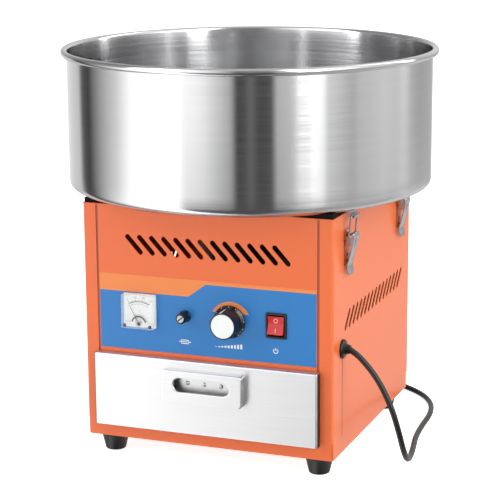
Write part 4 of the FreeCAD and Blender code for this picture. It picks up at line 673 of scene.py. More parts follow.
def makeBowl(look):
    # One closed profile of the sheet goes round: out along the bottom, up the wall, round the bead and back.
    base, sheet, wall = look["base"], look["sheet"], look["wall"]
    shelf = base + look["rise"]
    turn = np.linspace(-math.pi/2, 0, 10)
    outer = np.stack([wall - look["corner"] + look["corner"]*np.cos(turn),
                      shelf + look["corner"] + look["corner"]*np.sin(turn)], 1)
    innerCorner = look["corner"] - sheet
    inner = np.stack([wall - look["corner"] + innerCorner*np.cos(turn[::-1]),
                      shelf + look["corner"] + innerCorner*np.sin(turn[::-1])], 1)
    middle = look["beadMiddle"]
    curl = np.radians(np.linspace(look["beadFrom"], 180, 30))
    bead = np.stack([middle[0] + look["bead"]*np.cos(curl), middle[1] + look["bead"]*np.sin(curl)], 1)
    ways = np.linspace(0, 1, 12)[1:-1]
    wallLow = shelf + look["corner"]
    wallOut = np.stack([np.full(10, wall), wallLow + ways*(bead[0, 1] - wallLow)], 1)
    wallIn = np.stack([np.full(10, wall - sheet), middle[1] - ways*(middle[1] - wallLow)], 1)
    floorOut = np.stack([look["hole"] + ways*(look["step"] - look["hole"]), np.full(10, base)], 1)
    floorIn = floorOut[::-1] + (0, sheet)
    soft, step, rise, hole = look["soft"], look["step"], look["rise"], look["hole"]
    collar = look["collar"]
    profile = np.concatenate([
        [(hole, base + 1), (hole + 1, base)], floorOut,
        [(step - soft, base), (step + soft/2, base + 0.4),
         (step + rise - soft/2, shelf - 0.4), (step + rise + soft, shelf)],
        outer, wallOut, bead, wallIn, inner,
        [(step + rise + soft - 0.4, shelf + sheet), (step + rise - soft, shelf + 0.9),
         (step, base + sheet + 0.3), (step - soft - 0.4, base + sheet)], floorIn,
        [(hole + sheet + 1, base + sheet), (hole + sheet, base + sheet + 1),
         (hole + sheet, collar - 0.4), (hole + sheet/2, collar),
         (hole, collar - 0.4)]])
    return makePiece("flossBowl", [revolve(profile, steps=240, wrap=True)], "spunStainless",
                     replaced=["bowl"], sharp=50)


makeBowl(bowlLook)
print("stage: bowl made")


# Toggle latches: base plate, lever, wire bail and catch, four times.
latchLook = {"ends": {"front": -114.5, "rear": 130.5}, "side": 178.0, "pivot": (8.0, 322.0),
             "toggle": (6.44, 313.14), "crossbar": (10.0, 350.5), "half": 12.0, "sheet": 1.5, "wire": 1.4,
             "legAcross": 13.9, "crown": 4.95, "ear": 9.2, "earRound": 3.8, "rivets": (-33.5, -25.5, 5.4),
             "catchWidth": 22.9, "catchTop": 359.4}


def latchPlacer(hand, middle, look):
    # Moves (out, along, up) of one latch to the right side of the cabinet, or mirrored to the left.
    def place(shell):
        points, faces = shell[:2]
        out, along, up = points.T
        x = (look["side"] + out)*(1 if hand == "right" else -1)
        return np.stack([x, middle + along, up], 1), faces, *shell[2:]
    return place


def leverShells(look, place):
    # Pressed strap with a crown, a straight fall and a flared, rounded tip, and two cheeks on its sides.
    out, pivotUp = look["pivot"]
    face = out + look["crown"]
    spine = softPath([(face - 1.6, pivotUp + 4.6), (face, pivotUp + 3.2), (face, pivotUp - 3.5),
                      (6.6, pivotUp - 30), (4.25, pivotUp - 37), (4.9, pivotUp - 44), (6.75, pivotUp - 51.8)])
    fall = spine[:, 1] - spine[-1, 1]
    fullness = np.sqrt(np.clip(1 - (1 - np.clip(fall/6, 0, 1))**2, 0, 1))
    width = 2*look["half"] - 12*(1 - fullness) - 0.06
    shells = [strip(spine, width, look["sheet"], place)]
    rib = softPath([(face + 0.5, pivotUp - 4), (face - 0.2, pivotUp - 8), (5.9, pivotUp - 30),
                    (4.9, pivotUp - 35)], 2)
    shells.append(strip(rib, 5.0, 1.2, place))
    toggle = look["toggle"]
    corners = softPath([(face - 0.7, pivotUp - 7), (toggle[0] + 3.0, toggle[1] - 3.3),
                        (toggle[0] - 2.8, toggle[1] - 3.3), (toggle[0] - 3.2, toggle[1] + 3),
                        (out - 3.5, pivotUp + 3.3), (face - 0.7, pivotUp + 3.3)], 1)
    for side in (-1, 1):
        low = side*look["half"] - (look["sheet"] if side > 0 else 0)
        shells.append(plate(corners, low, low + look["sheet"], place))
    return shells


def bailShells(look, place):
    # One wire: hooked end, leg, bent crossbar in the catch, leg, hooked end.
    side = look["legAcross"]
    (lowOut, lowUp), (topOut, topUp) = look["toggle"], look["crossbar"]
    corners = [(lowOut, side - 3.4, lowUp), (lowOut, side - 1.4, lowUp), (lowOut, side, lowUp),
               (lowOut, side, lowUp + 1.4),
               (lowOut + 0.9*(topOut - lowOut), side, lowUp + 0.9*(topUp - lowUp)), (topOut, side, topUp),
               (topOut, side - 3.4, topUp)]
    half = softPath(corners, 3)
    other = half[::-1]*(1, -1, 1)
    return [place(tube(np.concatenate([half, other]), look["wire"], 14, reference=(1, 0.01, 0.02)))]


def baseShells(look, place):
    # Base plate with three rivet heads and the pair of ears that hold the pin.
    out, pivotUp = look["pivot"]
    ear, lobe = look["ear"], look["earRound"]
    # the pressing takes the second finish, a painted reddish shade
    pressing = blockRows(20.0, 48.0, 2.5, 0, look["sheet"], 0.4)
    shells = [(*place(rectRows(pressing, (0, 0, pivotUp - 15), "x", 5)), 1)]
    turn = np.linspace(-math.pi/2, math.pi/2, 15)
    tip = np.stack([out + lobe*np.cos(turn), pivotUp + lobe*np.sin(turn)], 1)
    outline = np.concatenate([[(1.0, pivotUp - lobe)], tip, [(1.0, pivotUp - 0.5)]])
    for side in (-1, 1):
        shells.append(plate(outline, side*ear - 0.75, side*ear + 0.75, place))
    for height in look["rivets"]:
        head = [(0, 2.4), (1.4, 2.3), (2.4, 1.9), (2.7, 1.5), (2.7, 1.3), (0, 1.3)]
        shells.append(place(revolve(head, (0, 0, pivotUp + height), "x", 20)))
    pin = [(0, -12.3), (1.7, -12.3), (2, -12), (2, 12), (1.7, 12.3), (0, 12.3)]
    points, faces = revolve(pin, (0, 0, 0), "z", 24)
    shells.append(place((points[:, [0, 2, 1]] + (out, 0, pivotUp), faces)))
    return shells


def catchShells(look, place):
    # Hook spot-welded under the bowl: flange, leg, trough round the wire and its lip.
    (out, up), top = look["crossbar"], look["catchTop"]
    leg, lip, trough = out - 1.7 - 0.6, out + 3.4 + 0.6, up - 1.7 - 0.6
    spine = softPath([(leg - 9.4, top), (leg - 1.5, top), (leg, top), (leg, 357.5), (leg, trough + 1.6),
                      (leg, trough), (leg + 1.6, trough), (lip - 1.6, trough), (lip, trough),
                      (lip, trough + 1.6), (lip, up + 0.9)], 2)
    return [strip(spine, look["catchWidth"], 1.2, place)]


def makeLatches(look):
    # Levers and bails ride bodies of their own; base plates and catches stay put.
    bases, catches = [], []
    for end, middle in look["ends"].items():
        for hand in ("right", "left"):
            place = latchPlacer(hand, middle, look)
            name = f"{end}_{hand}"
            makePiece(f"latchLever_{name}", leverShells(look, place), "nickelSteel", f"lever_{name}",
                      [f"latch_lever_{name}"])
            makePiece(f"latchBail_{name}", bailShells(look, place), "nickelSteel", f"bail_{name}",
                      [f"latch_bail_{name}"], 60)
            bases += baseShells(look, place)
            catches += catchShells(look, place)
    # the base plates' second finish is painted shade on the steel
    makePiece("latchBases", bases, ["nickelSteel", "paintedShadeSteel"], replaced=["latch_bases"])
    makePiece("bowlCatches", catches, "nickelSteel", replaced=["bowl_catches"])


makeLatches(latchLook)
print("stage: latches made")


# Drawer: folded front, boxed handle with a long slot, screws.
drawerLook = {"face": -183.0, "back": -171.5, "half": 160.2, "low": 46.4, "high": 148.6, "sheet": 1.2,
              "fold": 2.0, "gapShade": 0.5, "gapShadeFrom": 171.9, "gapShadeTo": 180.8}


def makeDrawerFront(look):
    # Shallow pan: the outside from its back edge round the folds to the face, then the inside back again.
    middle = (0, 0, (look["low"] + look["high"])/2)
    width, height = 2*look["half"], look["high"] - look["low"]
    turn = np.linspace(0, math.pi/2, 6)
    rows = [(width, height, 2.2, -look["back"])]
    rows += [(width - 2*look["fold"]*(1 - math.cos(t)), height - 2*look["fold"]*(1 - math.cos(t)), 2.2,
              -look["face"] - look["fold"]*(1 - math.sin(t))) for t in turn]
    inner, pole = 2*look["sheet"], 2*look["fold"] + 0.8
    rows += [(width - pole, height - pole, 2, -look["face"]), (0, 0, 0, -look["face"]),
             (0, 0, 0, -look["face"] - look["sheet"]),
             (width - pole, height - pole, 1, -look["face"] - look["sheet"])]
    rows += [(width - inner - 1.4, height - inner - 1.4, 1, -look["face"] - look["sheet"]),
             (width - inner, height - inner, 1, -look["face"] - look["sheet"] - 0.8),
             (width - inner, height - inner, 1, -look["back"])]
    shells = [(*rectRows(rows, middle, "-y", 6, wrap=True), 0)]
    for side in (-1, 1):  # thin black strips along the upright folds, behind their rounding: painted shadow of the gap beside the drawer
        place = (side*(look["half"] + 0.2), 0, middle[2])
        gapShade = blockRows(look["gapShade"], height - 1.5, 0.2, look["gapShadeFrom"], look["gapShadeTo"], 0.1)
        shells.append((*rectRows(gapShade, place, "-y", 3), 1))
    return makePiece("drawerFront", shells, ["brushedStainless", "mattAbs"], "drawer", ["drawer_front"])


makeDrawerFront(drawerLook)

handleLook = {"across": 1.5, "low": 94.3, "high": 138.3, "width": 115.0, "front": -197.0, "face": -183.0,
              "sheet": 1.5, "grip": (80.0, 19.5), "gripUp": 118.9, "screws": (-24.0, 0.0, 24.0), "fold": 1.1,
              "roll": 1.2}


def makeHandle(look):
    # Pressed box: flange at the drawer face, side walls, face round the slot, rolled slot edge and
    # the back of the sheet.
    middle = (look["across"], 0, (look["low"] + look["high"])/2)
    width, height, front, back = look["width"], look["high"] - look["low"], -look["front"], -look["face"]
    lift = look["gripUp"] - middle[2]
    (slotWide, slotHigh), fold, roll = look["grip"], look["fold"], look["roll"]
    turn = np.linspace(0, math.pi/2, 6)
    rows = [(width, height, 4, back), (width, height, 4, front - fold)]
    rows += [(width - 2*fold*(1 - math.cos(t)), height - 2*fold*(1 - math.cos(t)), 4,
              front - fold*(1 - math.sin(t))) for t in turn]
    rows += [(width - 3.0, height - 3.0, 3.6, front)]
    rows += [(slotWide + 2*roll + 0.8, slotHigh + 2*roll + 0.8, 99, front, 0, lift)]
    rows += [(slotWide + 2*roll*(1 - math.sin(t)), slotHigh + 2*roll*(1 - math.sin(t)), 99,
              front - roll*(1 - math.cos(t)), 0, lift) for t in turn]
    sheet = look["sheet"]
    rows += [(slotWide, slotHigh, 99, front - sheet - 1.2, 0, lift),
             (slotWide + 2, slotHigh + 2, 99, front - sheet - 1.2, 0, lift),
             (slotWide + 2.2, slotHigh + 2.2, 99, front - sheet, 0, lift),
             (width - 2*sheet, height - 2*sheet, 3, front - sheet),
             (width - 2*sheet, height - 2*sheet, 3, back)]
    shell = rectRows(rows, middle, "-y", 12, wrap=True)
    return makePiece("drawerHandle", [shell], "brushedStainless", "drawer", ["drawer_handle"])


makeHandle(handleLook)


def makeHandleScrews(look):
    # Pan heads with a cross recess shown as two short darker bars: painted shade in the recess.
    head = [(0, 1.6), (1.2, 1.6), (2.2, 1.25), (2.9, 0.5), (3, 0), (0, 0)]
    shells = []
    for shift in look["screws"]:
        place = (look["across"] + shift, look["face"], look["gripUp"])
        shells.append((*revolve(head, place, "-y", 28), 0))
        for size in ((2.6, 0.6), (0.6, 2.6)):
            shells.append((*rectRows(blockRows(*size, 0.1, 1.3, 1.63, 0.02), place, "-y", 2), 1))
    return makePiece("handleScrews", shells, ["brushedStainless", "zincSteel"], "drawer", ["handle_screws"])


makeHandleScrews(handleLook)
print("stage: drawer made")


# Voltmeter: case, printed dial, movement, needle and clear cover.
meterLook = {"middle": (-95.2, -170.3, 210.4), "size": 46.6, "case": 4.0, "cover": 14.0, "wall": 1.5,
             "pivotDrop": 17.5, "scale": 30.0, "sweep": 28.5, "screwAcross": 18.6, "screwDown": 19.2,
             "numbers": ("0", "100", "200", "300"), "numberGap": 6.0, "ticks": 30, "blade": 31.0,
             "bridge": 10.2}


def arcStrip(radius, width, start, end, depth, centre, steps=48):
    # Part of a flat ring, its angles measured from straight up, a hair thick so that it is closed.
    turn = np.radians(np.linspace(start, end, steps))
    rows = []
    for r, d in ((radius - width/2, depth), (radius + width/2, depth), (radius + width/2, depth + 0.06),
                 (radius - width/2, depth + 0.06)):
        rows.append(toAxis(r*np.sin(turn), r*np.cos(turn), d + 0*turn, centre, "-y"))
    points = np.array(rows)
    body = gridShell(points, wrapRows=True, wrapColumns=False)
    count = points.shape[1]
    ends = np.array([[0, count, 2*count, 3*count], [count - 1, 2*count - 1, 3*count - 1, 4*count - 1]])
    return body[0], np.vstack([body[1], ends])


def inkPlacer(centre, depth):
    # Moves (across, up, lift) of a flat mark to a plane that faces the front.
    def place(across, up, lift):
        return toAxis(across, up, depth + lift, centre, "-y")
    return place


def makeMeter(look):
    # Case through the panel, printed dial, movement, clear front in a frosted frame, needle at zero.
    x, y, z = look["middle"]
    size, wall = look["size"], look["wall"]
    centre = (x, y, z)
    case = [rectRows(blockRows(size, size, 1.2, 0, look["case"], 0.4), centre, "-y", 4),
            revolve([(0, 32), (17.4, 32), (18.4, 31), (18.4, 0), (0, 0)], centre, "-y", 48)]
    case[1] = (case[1][0]*(1, -1, 1) + (0, 2*y, 0), case[1][1])
    makePiece("meterCase", case, "whiteAbs", replaced=["voltmeter_case"])
    front, back = look["cover"], look["case"]
    turn = np.linspace(0, math.pi/2, 5)
    ring = [(size - 2*wall, size - 2*wall, 1, front - wall), (size - 2*wall, size - 2*wall, 1, back + 0.02),
            (size, size, 1.4, back + 0.02), (size, size, 1.6, front - wall)]
    rows = [(0, 0, 0, front - wall), (size - 0.4, size - 0.4, 1.6, front - wall)]
    rows += [(size - 2.4*(1 - math.cos(t)), size - 2.4*(1 - math.cos(t)), 1.6, front - 1.2*(1 - math.sin(t)))
             for t in turn]
    rows += [(size - 3.2, size - 3.2, 1.2, front), (0, 0, 0, front)]
    cover = [(*rectRows(rows, centre, "-y", 5), 0), (*rectRows(ring, centre, "-y", 5, wrap=True), 1)]
    makePiece("meterCover", cover, ["clearAcrylic", "frostedAcrylic"], replaced=["voltmeter_cover"])
    dialBack, dialFront = look["case"], look["case"] + 0.6
    shells = [(*rectRows(blockRows(size - 2*wall - 0.6, size - 2*wall - 0.6, 0.5, dialBack, dialFront, 0.1),
                         centre, "-y", 3), 0)]
    pivot = (x, y, z - look["pivotDrop"])
    ink, sweep, scale = dialFront + 0.01, look["sweep"], look["scale"]
    shells.append((*arcStrip(scale, 0.55, -sweep, sweep, ink, pivot), 1))
    shells.append((*arcStrip(scale - 3.0, 0.3, -sweep, sweep, ink, pivot), 1))
    for i in range(look["ticks"] + 1):
        turned = -sweep + 2*sweep*i/look["ticks"]
        long = 3.4 if i % 10 == 0 else (2.6 if i % 5 == 0 else 1.6)
        shells.append((*arcStrip(scale + long/2, long, turned - 0.35, turned + 0.35, ink, pivot, 2), 1))
    far = scale + look["numberGap"]
    for i, word in enumerate(look["numbers"]):
        turned = math.radians(-sweep + 2*sweep*i/3)
        place = inkPlacer((pivot[0] + far*math.sin(turned), y, pivot[2] + far*math.cos(turned)), ink)
        shells.append((*textShells(word, 3.6, place), 1))
    shells.append((*textShells("V", 5.0, inkPlacer((x, y, pivot[2] + 17.5), ink)), 1))
    makePiece("meterDial", shells, ["whiteAbs", "blackInk"], replaced=["voltmeter_dial"])
    # movement seen through the cover: pale magnet yoke, dark curved bridge, bright hub and a shield
    limb = blockRows(3.4, 11.5, 0.6, dialFront, dialFront + 2.6, 0.4)
    core = [(*arcStrip(look["bridge"], 2.0, -74, 74, dialFront + 2.7, pivot), 0),
            (*arcStrip(5.6, 0.5, -85, 85, dialFront + 2.7, pivot), 1),
            (*rectRows(limb, (x - 7.2, y, pivot[2] + 1.4), "-y", 3), 2),
            (*rectRows(limb, (x + 7.2, y, pivot[2] + 1.4), "-y", 3), 2),
            (*revolve([(0, dialFront + 3.4), (2.6, dialFront + 3.4), (3.4, dialFront + 2.8),
                       (3.4, dialFront), (0, dialFront)], pivot, "-y", 24), 1),
            (*rectRows(blockRows(size - 7, 6.4, 0.6, dialFront, dialFront + 1.6, 0.5),
                       (x, y, z - 19.0), "-y", 3), 2)]
    makePiece("meterMovement", core, ["motorEnamel", "nickelSteel", "whiteAbs"])
    screws = []
    for side in (-1, 1):
        place = (x + side*look["screwAcross"], y, z - look["screwDown"])
        screws.append((*revolve([(0, front + 0.7), (1.1, front + 0.7), (2.0, front + 0.3), (2.2, front),
                                 (2.2, front - 2), (0, front - 2)], place, "-y", 20), 0))
        # the slot is a dark bar raised on the head: painted shade in the slot
        slot = blockRows(3.2, 0.5, 0.1, front + 0.5, front + 0.73, 0.02)
        screws.append((*rectRows(slot, place, "-y", 2), 1))
    makePiece("meterScrews", screws, ["blackenedSteel", "carbon"])
    lean = math.radians(-sweep)
    tip = look["blade"]
    blade = np.array([(-0.45, 0), (0.45, 0), (0.16, tip - 1.5), (0.0, tip), (-0.16, tip - 1.5)])
    turnedBlade = np.stack([blade[:, 0]*math.cos(lean) + blade[:, 1]*math.sin(lean),
                            -blade[:, 0]*math.sin(lean) + blade[:, 1]*math.cos(lean)], 1)

    def placeBlade(shell):
        points = shell[0]
        return np.stack([pivot[0] + points[:, 0], y - points[:, 1], pivot[2] + points[:, 2]], 1), shell[1]
    hub = revolve([(0, dialFront + 4.0), (1.8, dialFront + 4.0), (2.4, dialFront + 3.5),
                   (2.4, dialFront + 1.2), (0, dialFront + 1.2)], pivot, "-y", 24)
    needle = plate(turnedBlade, dialFront + 2.2, dialFront + 2.5, placeBlade, 0.05)
    makePiece("meterNeedle", [(*hub, 0), (*needle, 0)], ["blackInk"], "needle", ["voltmeter_needle"])


makeMeter(meterLook)


# Fuse holder and its cap.
fuseLook = {"middle": (-30.4, -170.3, 207.6), "bezel": 8.4, "bezelThick": 3.0, "cap": 7.7, "capTip": 7.0,
            "capLength": 13.5, "disc": 5.0, "slotLean": 50.0, "slotWide": 1.7,
            "bore": 4.2, "barrel": 6.2, "barrelEnd": -37.8, "edge": 1.3}


def makeFuse(look):
    # Holder: barrel with an open bore and a round-edged bezel. Cap: tapered and fluted, with a slotted
    # bright disc.
    wide, thick = look["bezel"], look["bezelThick"]
    turn = np.linspace(0, math.pi/2, 6)
    bore, barrel, end, eased = look["bore"], look["barrel"], look["barrelEnd"], look["edge"]
    edge = np.stack([wide - eased + eased*np.cos(turn), thick - eased + eased*np.sin(turn)], 1)
    profile = [(bore, end), (barrel, end), (barrel, 0.0), (wide, 0.0), *edge, (bore + 0.4, thick),
               (bore, thick - 0.4)]
    makePiece("fuseHolder", [revolve(profile, look["middle"], "-y", 56, wrap=True)], "blackAbs",
              replaced=["fuse_holder"])
    start, length = thick + 0.3, look["capLength"]
    along = np.linspace(0, 1, 18)
    side = np.stack([look["cap"] + (look["capTip"] - look["cap"])*along**1.5,
                     start + 0.6 + (length - 1.8)*along], 1)
    cap = [(0, start - 6), (3.8, start - 6), (3.8, start), (look["cap"] - 0.4, start), *side,
           (look["capTip"] - 0.5, start + length - 0.3), (look["capTip"] - 1.1, start + length),
           (0, start + length)]
    shells = [(*revolve(cap, look["middle"], "-y", 72, flutes=(18, 0.5, start + 1.5, start + length - 2)), 0)]
    end, disc = start + length, look["disc"]
    shells.append((*revolve([(0, end - 1), (disc, end - 1), (disc, end - 0.2), (disc - 0.3, end + 0.05),
                             (0, end + 0.05)], look["middle"], "-y", 40), 1))
    # the slot is a black bar raised on the disc: painted shade in the slot
    bar, faces = rectRows(blockRows(look["slotWide"], 2*disc - 1, 0.2, end - 1.0, end + 0.12, 0.02),
                          (0, 0, 0), "-y", 2)
    lean = math.radians(look["slotLean"])
    turned = np.stack([bar[:, 0]*math.cos(lean) + bar[:, 2]*math.sin(lean), bar[:, 1],
                       bar[:, 2]*math.cos(lean) - bar[:, 0]*math.sin(lean)], 1) + look["middle"]
    shells.append((turned, faces, 0))
    return makePiece("fuseCap", shells, ["blackAbs", "pinSteel"], "fuse_cap", ["fuse_cap"])


makeFuse(fuseLook)

knobLook = {"middle": (34.0, -170.3, 206.0), "skirt": 22.4, "body": 18.0, "front": 28.0, "face": 16.4,
            "gap": 1.5, "marks": 10, "markRing": 21.2, "markSize": 0.55, "markSweep": 140, "pointerWide": 1.7,
            "pointerAcross": -3.2}


def makeKnob(look):
    # Skirt with a chamfered printed edge, fluted grip, and a shallow dished place for the insert.
    gap, body, front = look["gap"], look["body"], look["front"]
    along = np.linspace(0, 1, 12)
    grip = np.stack([body + 0.7 - 0.7*along, gap + 5.2 + (front - 1.2 - gap - 5.2)*along], 1)
    profile = [(8, gap), (look["skirt"] - 0.3, gap), (look["skirt"], gap + 0.3), (look["skirt"], gap + 1.5),
               (look["skirt"] - 0.4, gap + 2.0), (body + 1.2, gap + 4.6), *grip, (body - 0.3, front - 0.3),
               (body - 0.9, front), (look["face"] + 0.2, front), (look["face"], front - 0.3),
               (look["face"], front - 1.4), (3.05, front - 1.4), (3.05, gap + 7), (8, gap + 7)]
    flutes = (36, 0.55, gap + 6, front - 2)
    shells = [(*revolve(profile, look["middle"], "-y", 144, wrap=True, flutes=flutes), 0)]
    x, y, z = look["middle"]
    ring, size, sweep = look["markRing"], look["markSize"], look["markSweep"]
    depth = gap + 4.6 - (ring - body - 1.2)/(look["skirt"] - 0.4 - body - 1.2)*2.6
    for i in range(look["marks"] + 1):
        turned = math.radians(-sweep + 2*sweep*i/look["marks"])
        place = (x + ring*math.sin(turned), y, z + ring*math.cos(turned))
        dot = [(0, depth + 0.45), (size, depth + 0.3), (size, depth - 0.8), (0, depth - 0.8)]
        shells.append((*revolve(dot, place, "-y", 10), 1))
    pointer = rectRows(blockRows(look["pointerWide"], front - gap - 7, 0.3, body - 0.5, body + 0.55, 0.2),
                       (0, 0, 0), "z", 3)
    points = pointer[0]
    shells.append((np.stack([x + points[:, 0] + look["pointerAcross"],
                             y - (points[:, 1] + (front + gap + 5)/2), z + points[:, 2] - 0.35], 1),
                   pointer[1], 1))
    return makePiece("regulatorKnob", shells, ["blackAbs", "whiteInk"], "knob", ["regulator_knob"])


makeKnob(knobLook)


def makeKnobInsert(look):
    # Thin white cap pressed into the knob, very slightly domed with an eased rim.
    radius, front = look["face"] - 0.1, look["front"]
    along = np.linspace(0, 1, 8)
    dome = np.stack([(radius - 0.5)*(1 - along), front - 0.1 + 0.45*np.sin(along*math.pi/2)], 1)
    profile = [(0, front - 1.3), (radius, front - 1.3), (radius, front - 0.5), *dome]
    return makePiece("knobInsert", [revolve(profile, look["middle"], "-y", 72)], "whiteAbs", "knob",
                     ["knob_insert"])


makeKnobInsert(knobLook)

switchLook = {"middle": (99.6, -170.3, 206.0), "width": 29.5, "height": 35.0, "bezel": 2.4, "rim": 3.4,
              "depth": 26.0, "half": 12.2, "rise": 7.0, "dip": 2.2, "sink": 2.0, "tilt": 10.0,
              "rockerWidth": 22.0}


def makeSwitchHousing(look):
    # Bezel with a rounded frame that falls into the mouth, and the box of contacts behind the panel.
    width, height, rim = look["width"], look["height"], look["rim"]
    turn = np.linspace(0, math.pi/2, 6)
    rows = [(width, height, 2.4, 0)]
    rows += [(width - 2.6*(1 - math.cos(t)), height - 2.6*(1 - math.cos(t)), 2.4,
              look["bezel"] - 1.3*(1 - math.sin(t))) for t in turn]
    mouthWide, mouthHigh = width - 2*rim, height - 2*rim
    rows += [(mouthWide + 2.2, mouthHigh + 2.2, 1.6, look["bezel"]),
             (mouthWide + 0.8, mouthHigh + 0.8, 1.2, look["bezel"] - 0.5),
             (mouthWide, mouthHigh, 1, look["bezel"] - 1.2), (mouthWide, mouthHigh, 1, -11.9),
             (0, 0, 0, -11.9), (0, 0, 0, -look["depth"]), (width - 4.1, height - 4.1, 1, -look["depth"]),
             (width - 4.1, height - 4.1, 1, 0)]
    return makePiece("switchHousing", [rectRows(rows, look["middle"], "-y", 6, wrap=True)], "mattAbs",
                     replaced=["switch_housing"])


makeSwitchHousing(switchLook)


def makeRocker(look):
    # Side view of two dished halves meeting at a dip, with eased ends, carried across; signs on its halves.
    half, rise, dip = look["half"], look["rise"], look["dip"]
    up = np.linspace(-1, 1, 41)
    front = rise - dip*(1 - np.abs(up)**1.35)
    outline = [(half - 1.5, -6.0), (half - 0.1, rise - 1.2)]
    outline += [(u*half*0.985, f) for u, f in zip(up[::-1], front[::-1])]
    outline += [(-half + 0.1, rise - 1.2), (-half + 1.5, -6.0)]
    outline = np.array(outline)
    x, y, z = look["middle"]
    lean = math.radians(look["tilt"])

    def place(shell):
        points = shell[0]
        vertical, forward = points[:, 0], points[:, 2]
        turnedUp = vertical*math.cos(lean) + forward*math.sin(lean)
        turnedOut = forward*math.cos(lean) - vertical*math.sin(lean)
        return np.stack([x + points[:, 1], y + look["sink"] - turnedOut, z + turnedUp], 1), *shell[1:]
    wide = look["rockerWidth"]/2
    shells = [(*plate(outline, -wide, wide, place, 0.5), 0)]
    turn = np.linspace(0, 2*math.pi, 32, endpoint=False)
    rows = []
    for radius, lift in ((2.1, -0.4), (2.9, -0.4), (2.9, 0.12), (2.1, 0.12)):
        vertical = 6.4 + radius*np.sin(turn)*1.05
        forward = rise - dip*(1 - np.abs(vertical/(half*0.985))**1.35) + lift
        rows.append(np.stack([vertical, radius*np.cos(turn), forward], 1))
    ring = gridShell(np.array(rows), wrapRows=True)
    shells.append((*place(ring), 1))
    along = np.linspace(-9.2, -3.8, 8)
    forward = rise - dip*(1 - np.abs(along/(half*0.985))**1.35)
    rows = [np.stack([along, np.full(8, side), forward + lift], 1)
            for side, lift in ((-0.45, -0.4), (0.45, -0.4), (0.45, 0.12), (-0.45, 0.12))]
    shells.append((*place(gridShell(np.array(rows), wrapRows=True, wrapColumns=False)), 1))
    return makePiece("switchRocker", shells, ["redPolycarbonate", "pinkInk"], "rocker", ["switch_rocker"])


makeRocker(switchLook)

symbolLook = {"face": 170.35, "fuse": (-31.0, 172.0), "wedge": (32.0, 172.0), "power": (98.5, 171.8)}


def flatBar(x, z, width, height, depth):
    # A printed bar with sharp corners, a hair thick so that it is closed.
    return rectRows([(0, 0, 0, depth), (width, height, 0.1, depth), (width, height, 0.1, depth + 0.06),
                     (0, 0, 0, depth + 0.06)], (x, 0, z), "-y", 2)


def makeSymbols(look):
    # Plain pictograms in place of words: a fuse, a rising wedge and a power sign.
    depth = look["face"]
    x, z = look["fuse"]
    shells = [flatBar(x, z, 17.5, 1.1, depth)]
    shells += [flatBar(x, z + s*2.4, 10.5, 1.1, depth) for s in (-1, 1)]
    shells += [flatBar(x + s*5.2, z, 1.1, 5.9, depth) for s in (-1, 1)]
    x, z = look["wedge"]
    shells += [flatBar(x - 18 + 4.5*i, z - 2.8 + 0.36*(i + 1), 2.7, 0.72*(i + 1), depth) for i in range(9)]
    x, z = look["power"]
    shells += [arcStrip(3.1, 1.1, 35, 325, depth, (x, 0, z - 0.4), 36), flatBar(x, z + 1.9, 1.1, 3.8, depth)]
    return makePiece("panelSymbols", shells, "whiteInk")


makeSymbols(symbolLook)
print("stage: controls made")


# Spinner head: cast base and cap.
spinLook = {"base": 423.5, "plate": 5.0, "radius": 70.0, "hub": 14.0, "spindle": 6.05, "screenTop": 466.5,
            "capTop": 472.5, "funnel": 27.0, "wall": 1.5, "funnelTop": 482.5}


def makeSpinner(look):
    # Base: machined disc with a rim and a hub. Cap: shallow cone that rises to an open sugar funnel.
    base, top, radius = look["base"], look["base"] + look["plate"], look["radius"]
    spindle, hub, funnel, mouth = look["spindle"], look["hub"], look["funnel"], look["funnelTop"]
    profile = [(spindle, base - 10), (hub - 1, base - 10), (hub, base - 9), (hub, base - 1),
               (hub + 1.5, base), (radius - 1.2, base), (radius, base + 1.2), (radius, top - 0.8),
               (radius - 0.8, top), (radius - 2.6, top), (20, top), (spindle, top)]
    makePiece("spinnerBase", [revolve(profile, steps=128, wrap=True)], "castAluminium", "spinner",
              ["spinner_base"])
    low, high, neck = look["screenTop"], look["capTop"], funnel - look["wall"]
    along = np.linspace(0, 1, 10)
    cone = np.stack([radius - 2 - (radius - 2 - funnel - 3)*along, low + 2 + (high - low - 2)*along**0.8], 1)
    profile = [(neck, low), (radius - 1.0, low), (radius, low + 0.6), (radius - 0.5, low + 1.5), *cone,
               (funnel + 2, high + 1.0), (funnel + 2.4, mouth - 1.2),
               (funnel + 3.0, mouth - 0.6), (funnel + 2.6, mouth),
               (funnel + 1.5, mouth - 0.3), (neck + 0.8, high + 1), (neck, high - 0.5)]
    makePiece("spinnerCap", [revolve(profile, steps=128, wrap=True)], "castAluminium", "spinner",
              ["spinner_cap"])


makeSpinner(spinLook)
print("stage: spinner made")


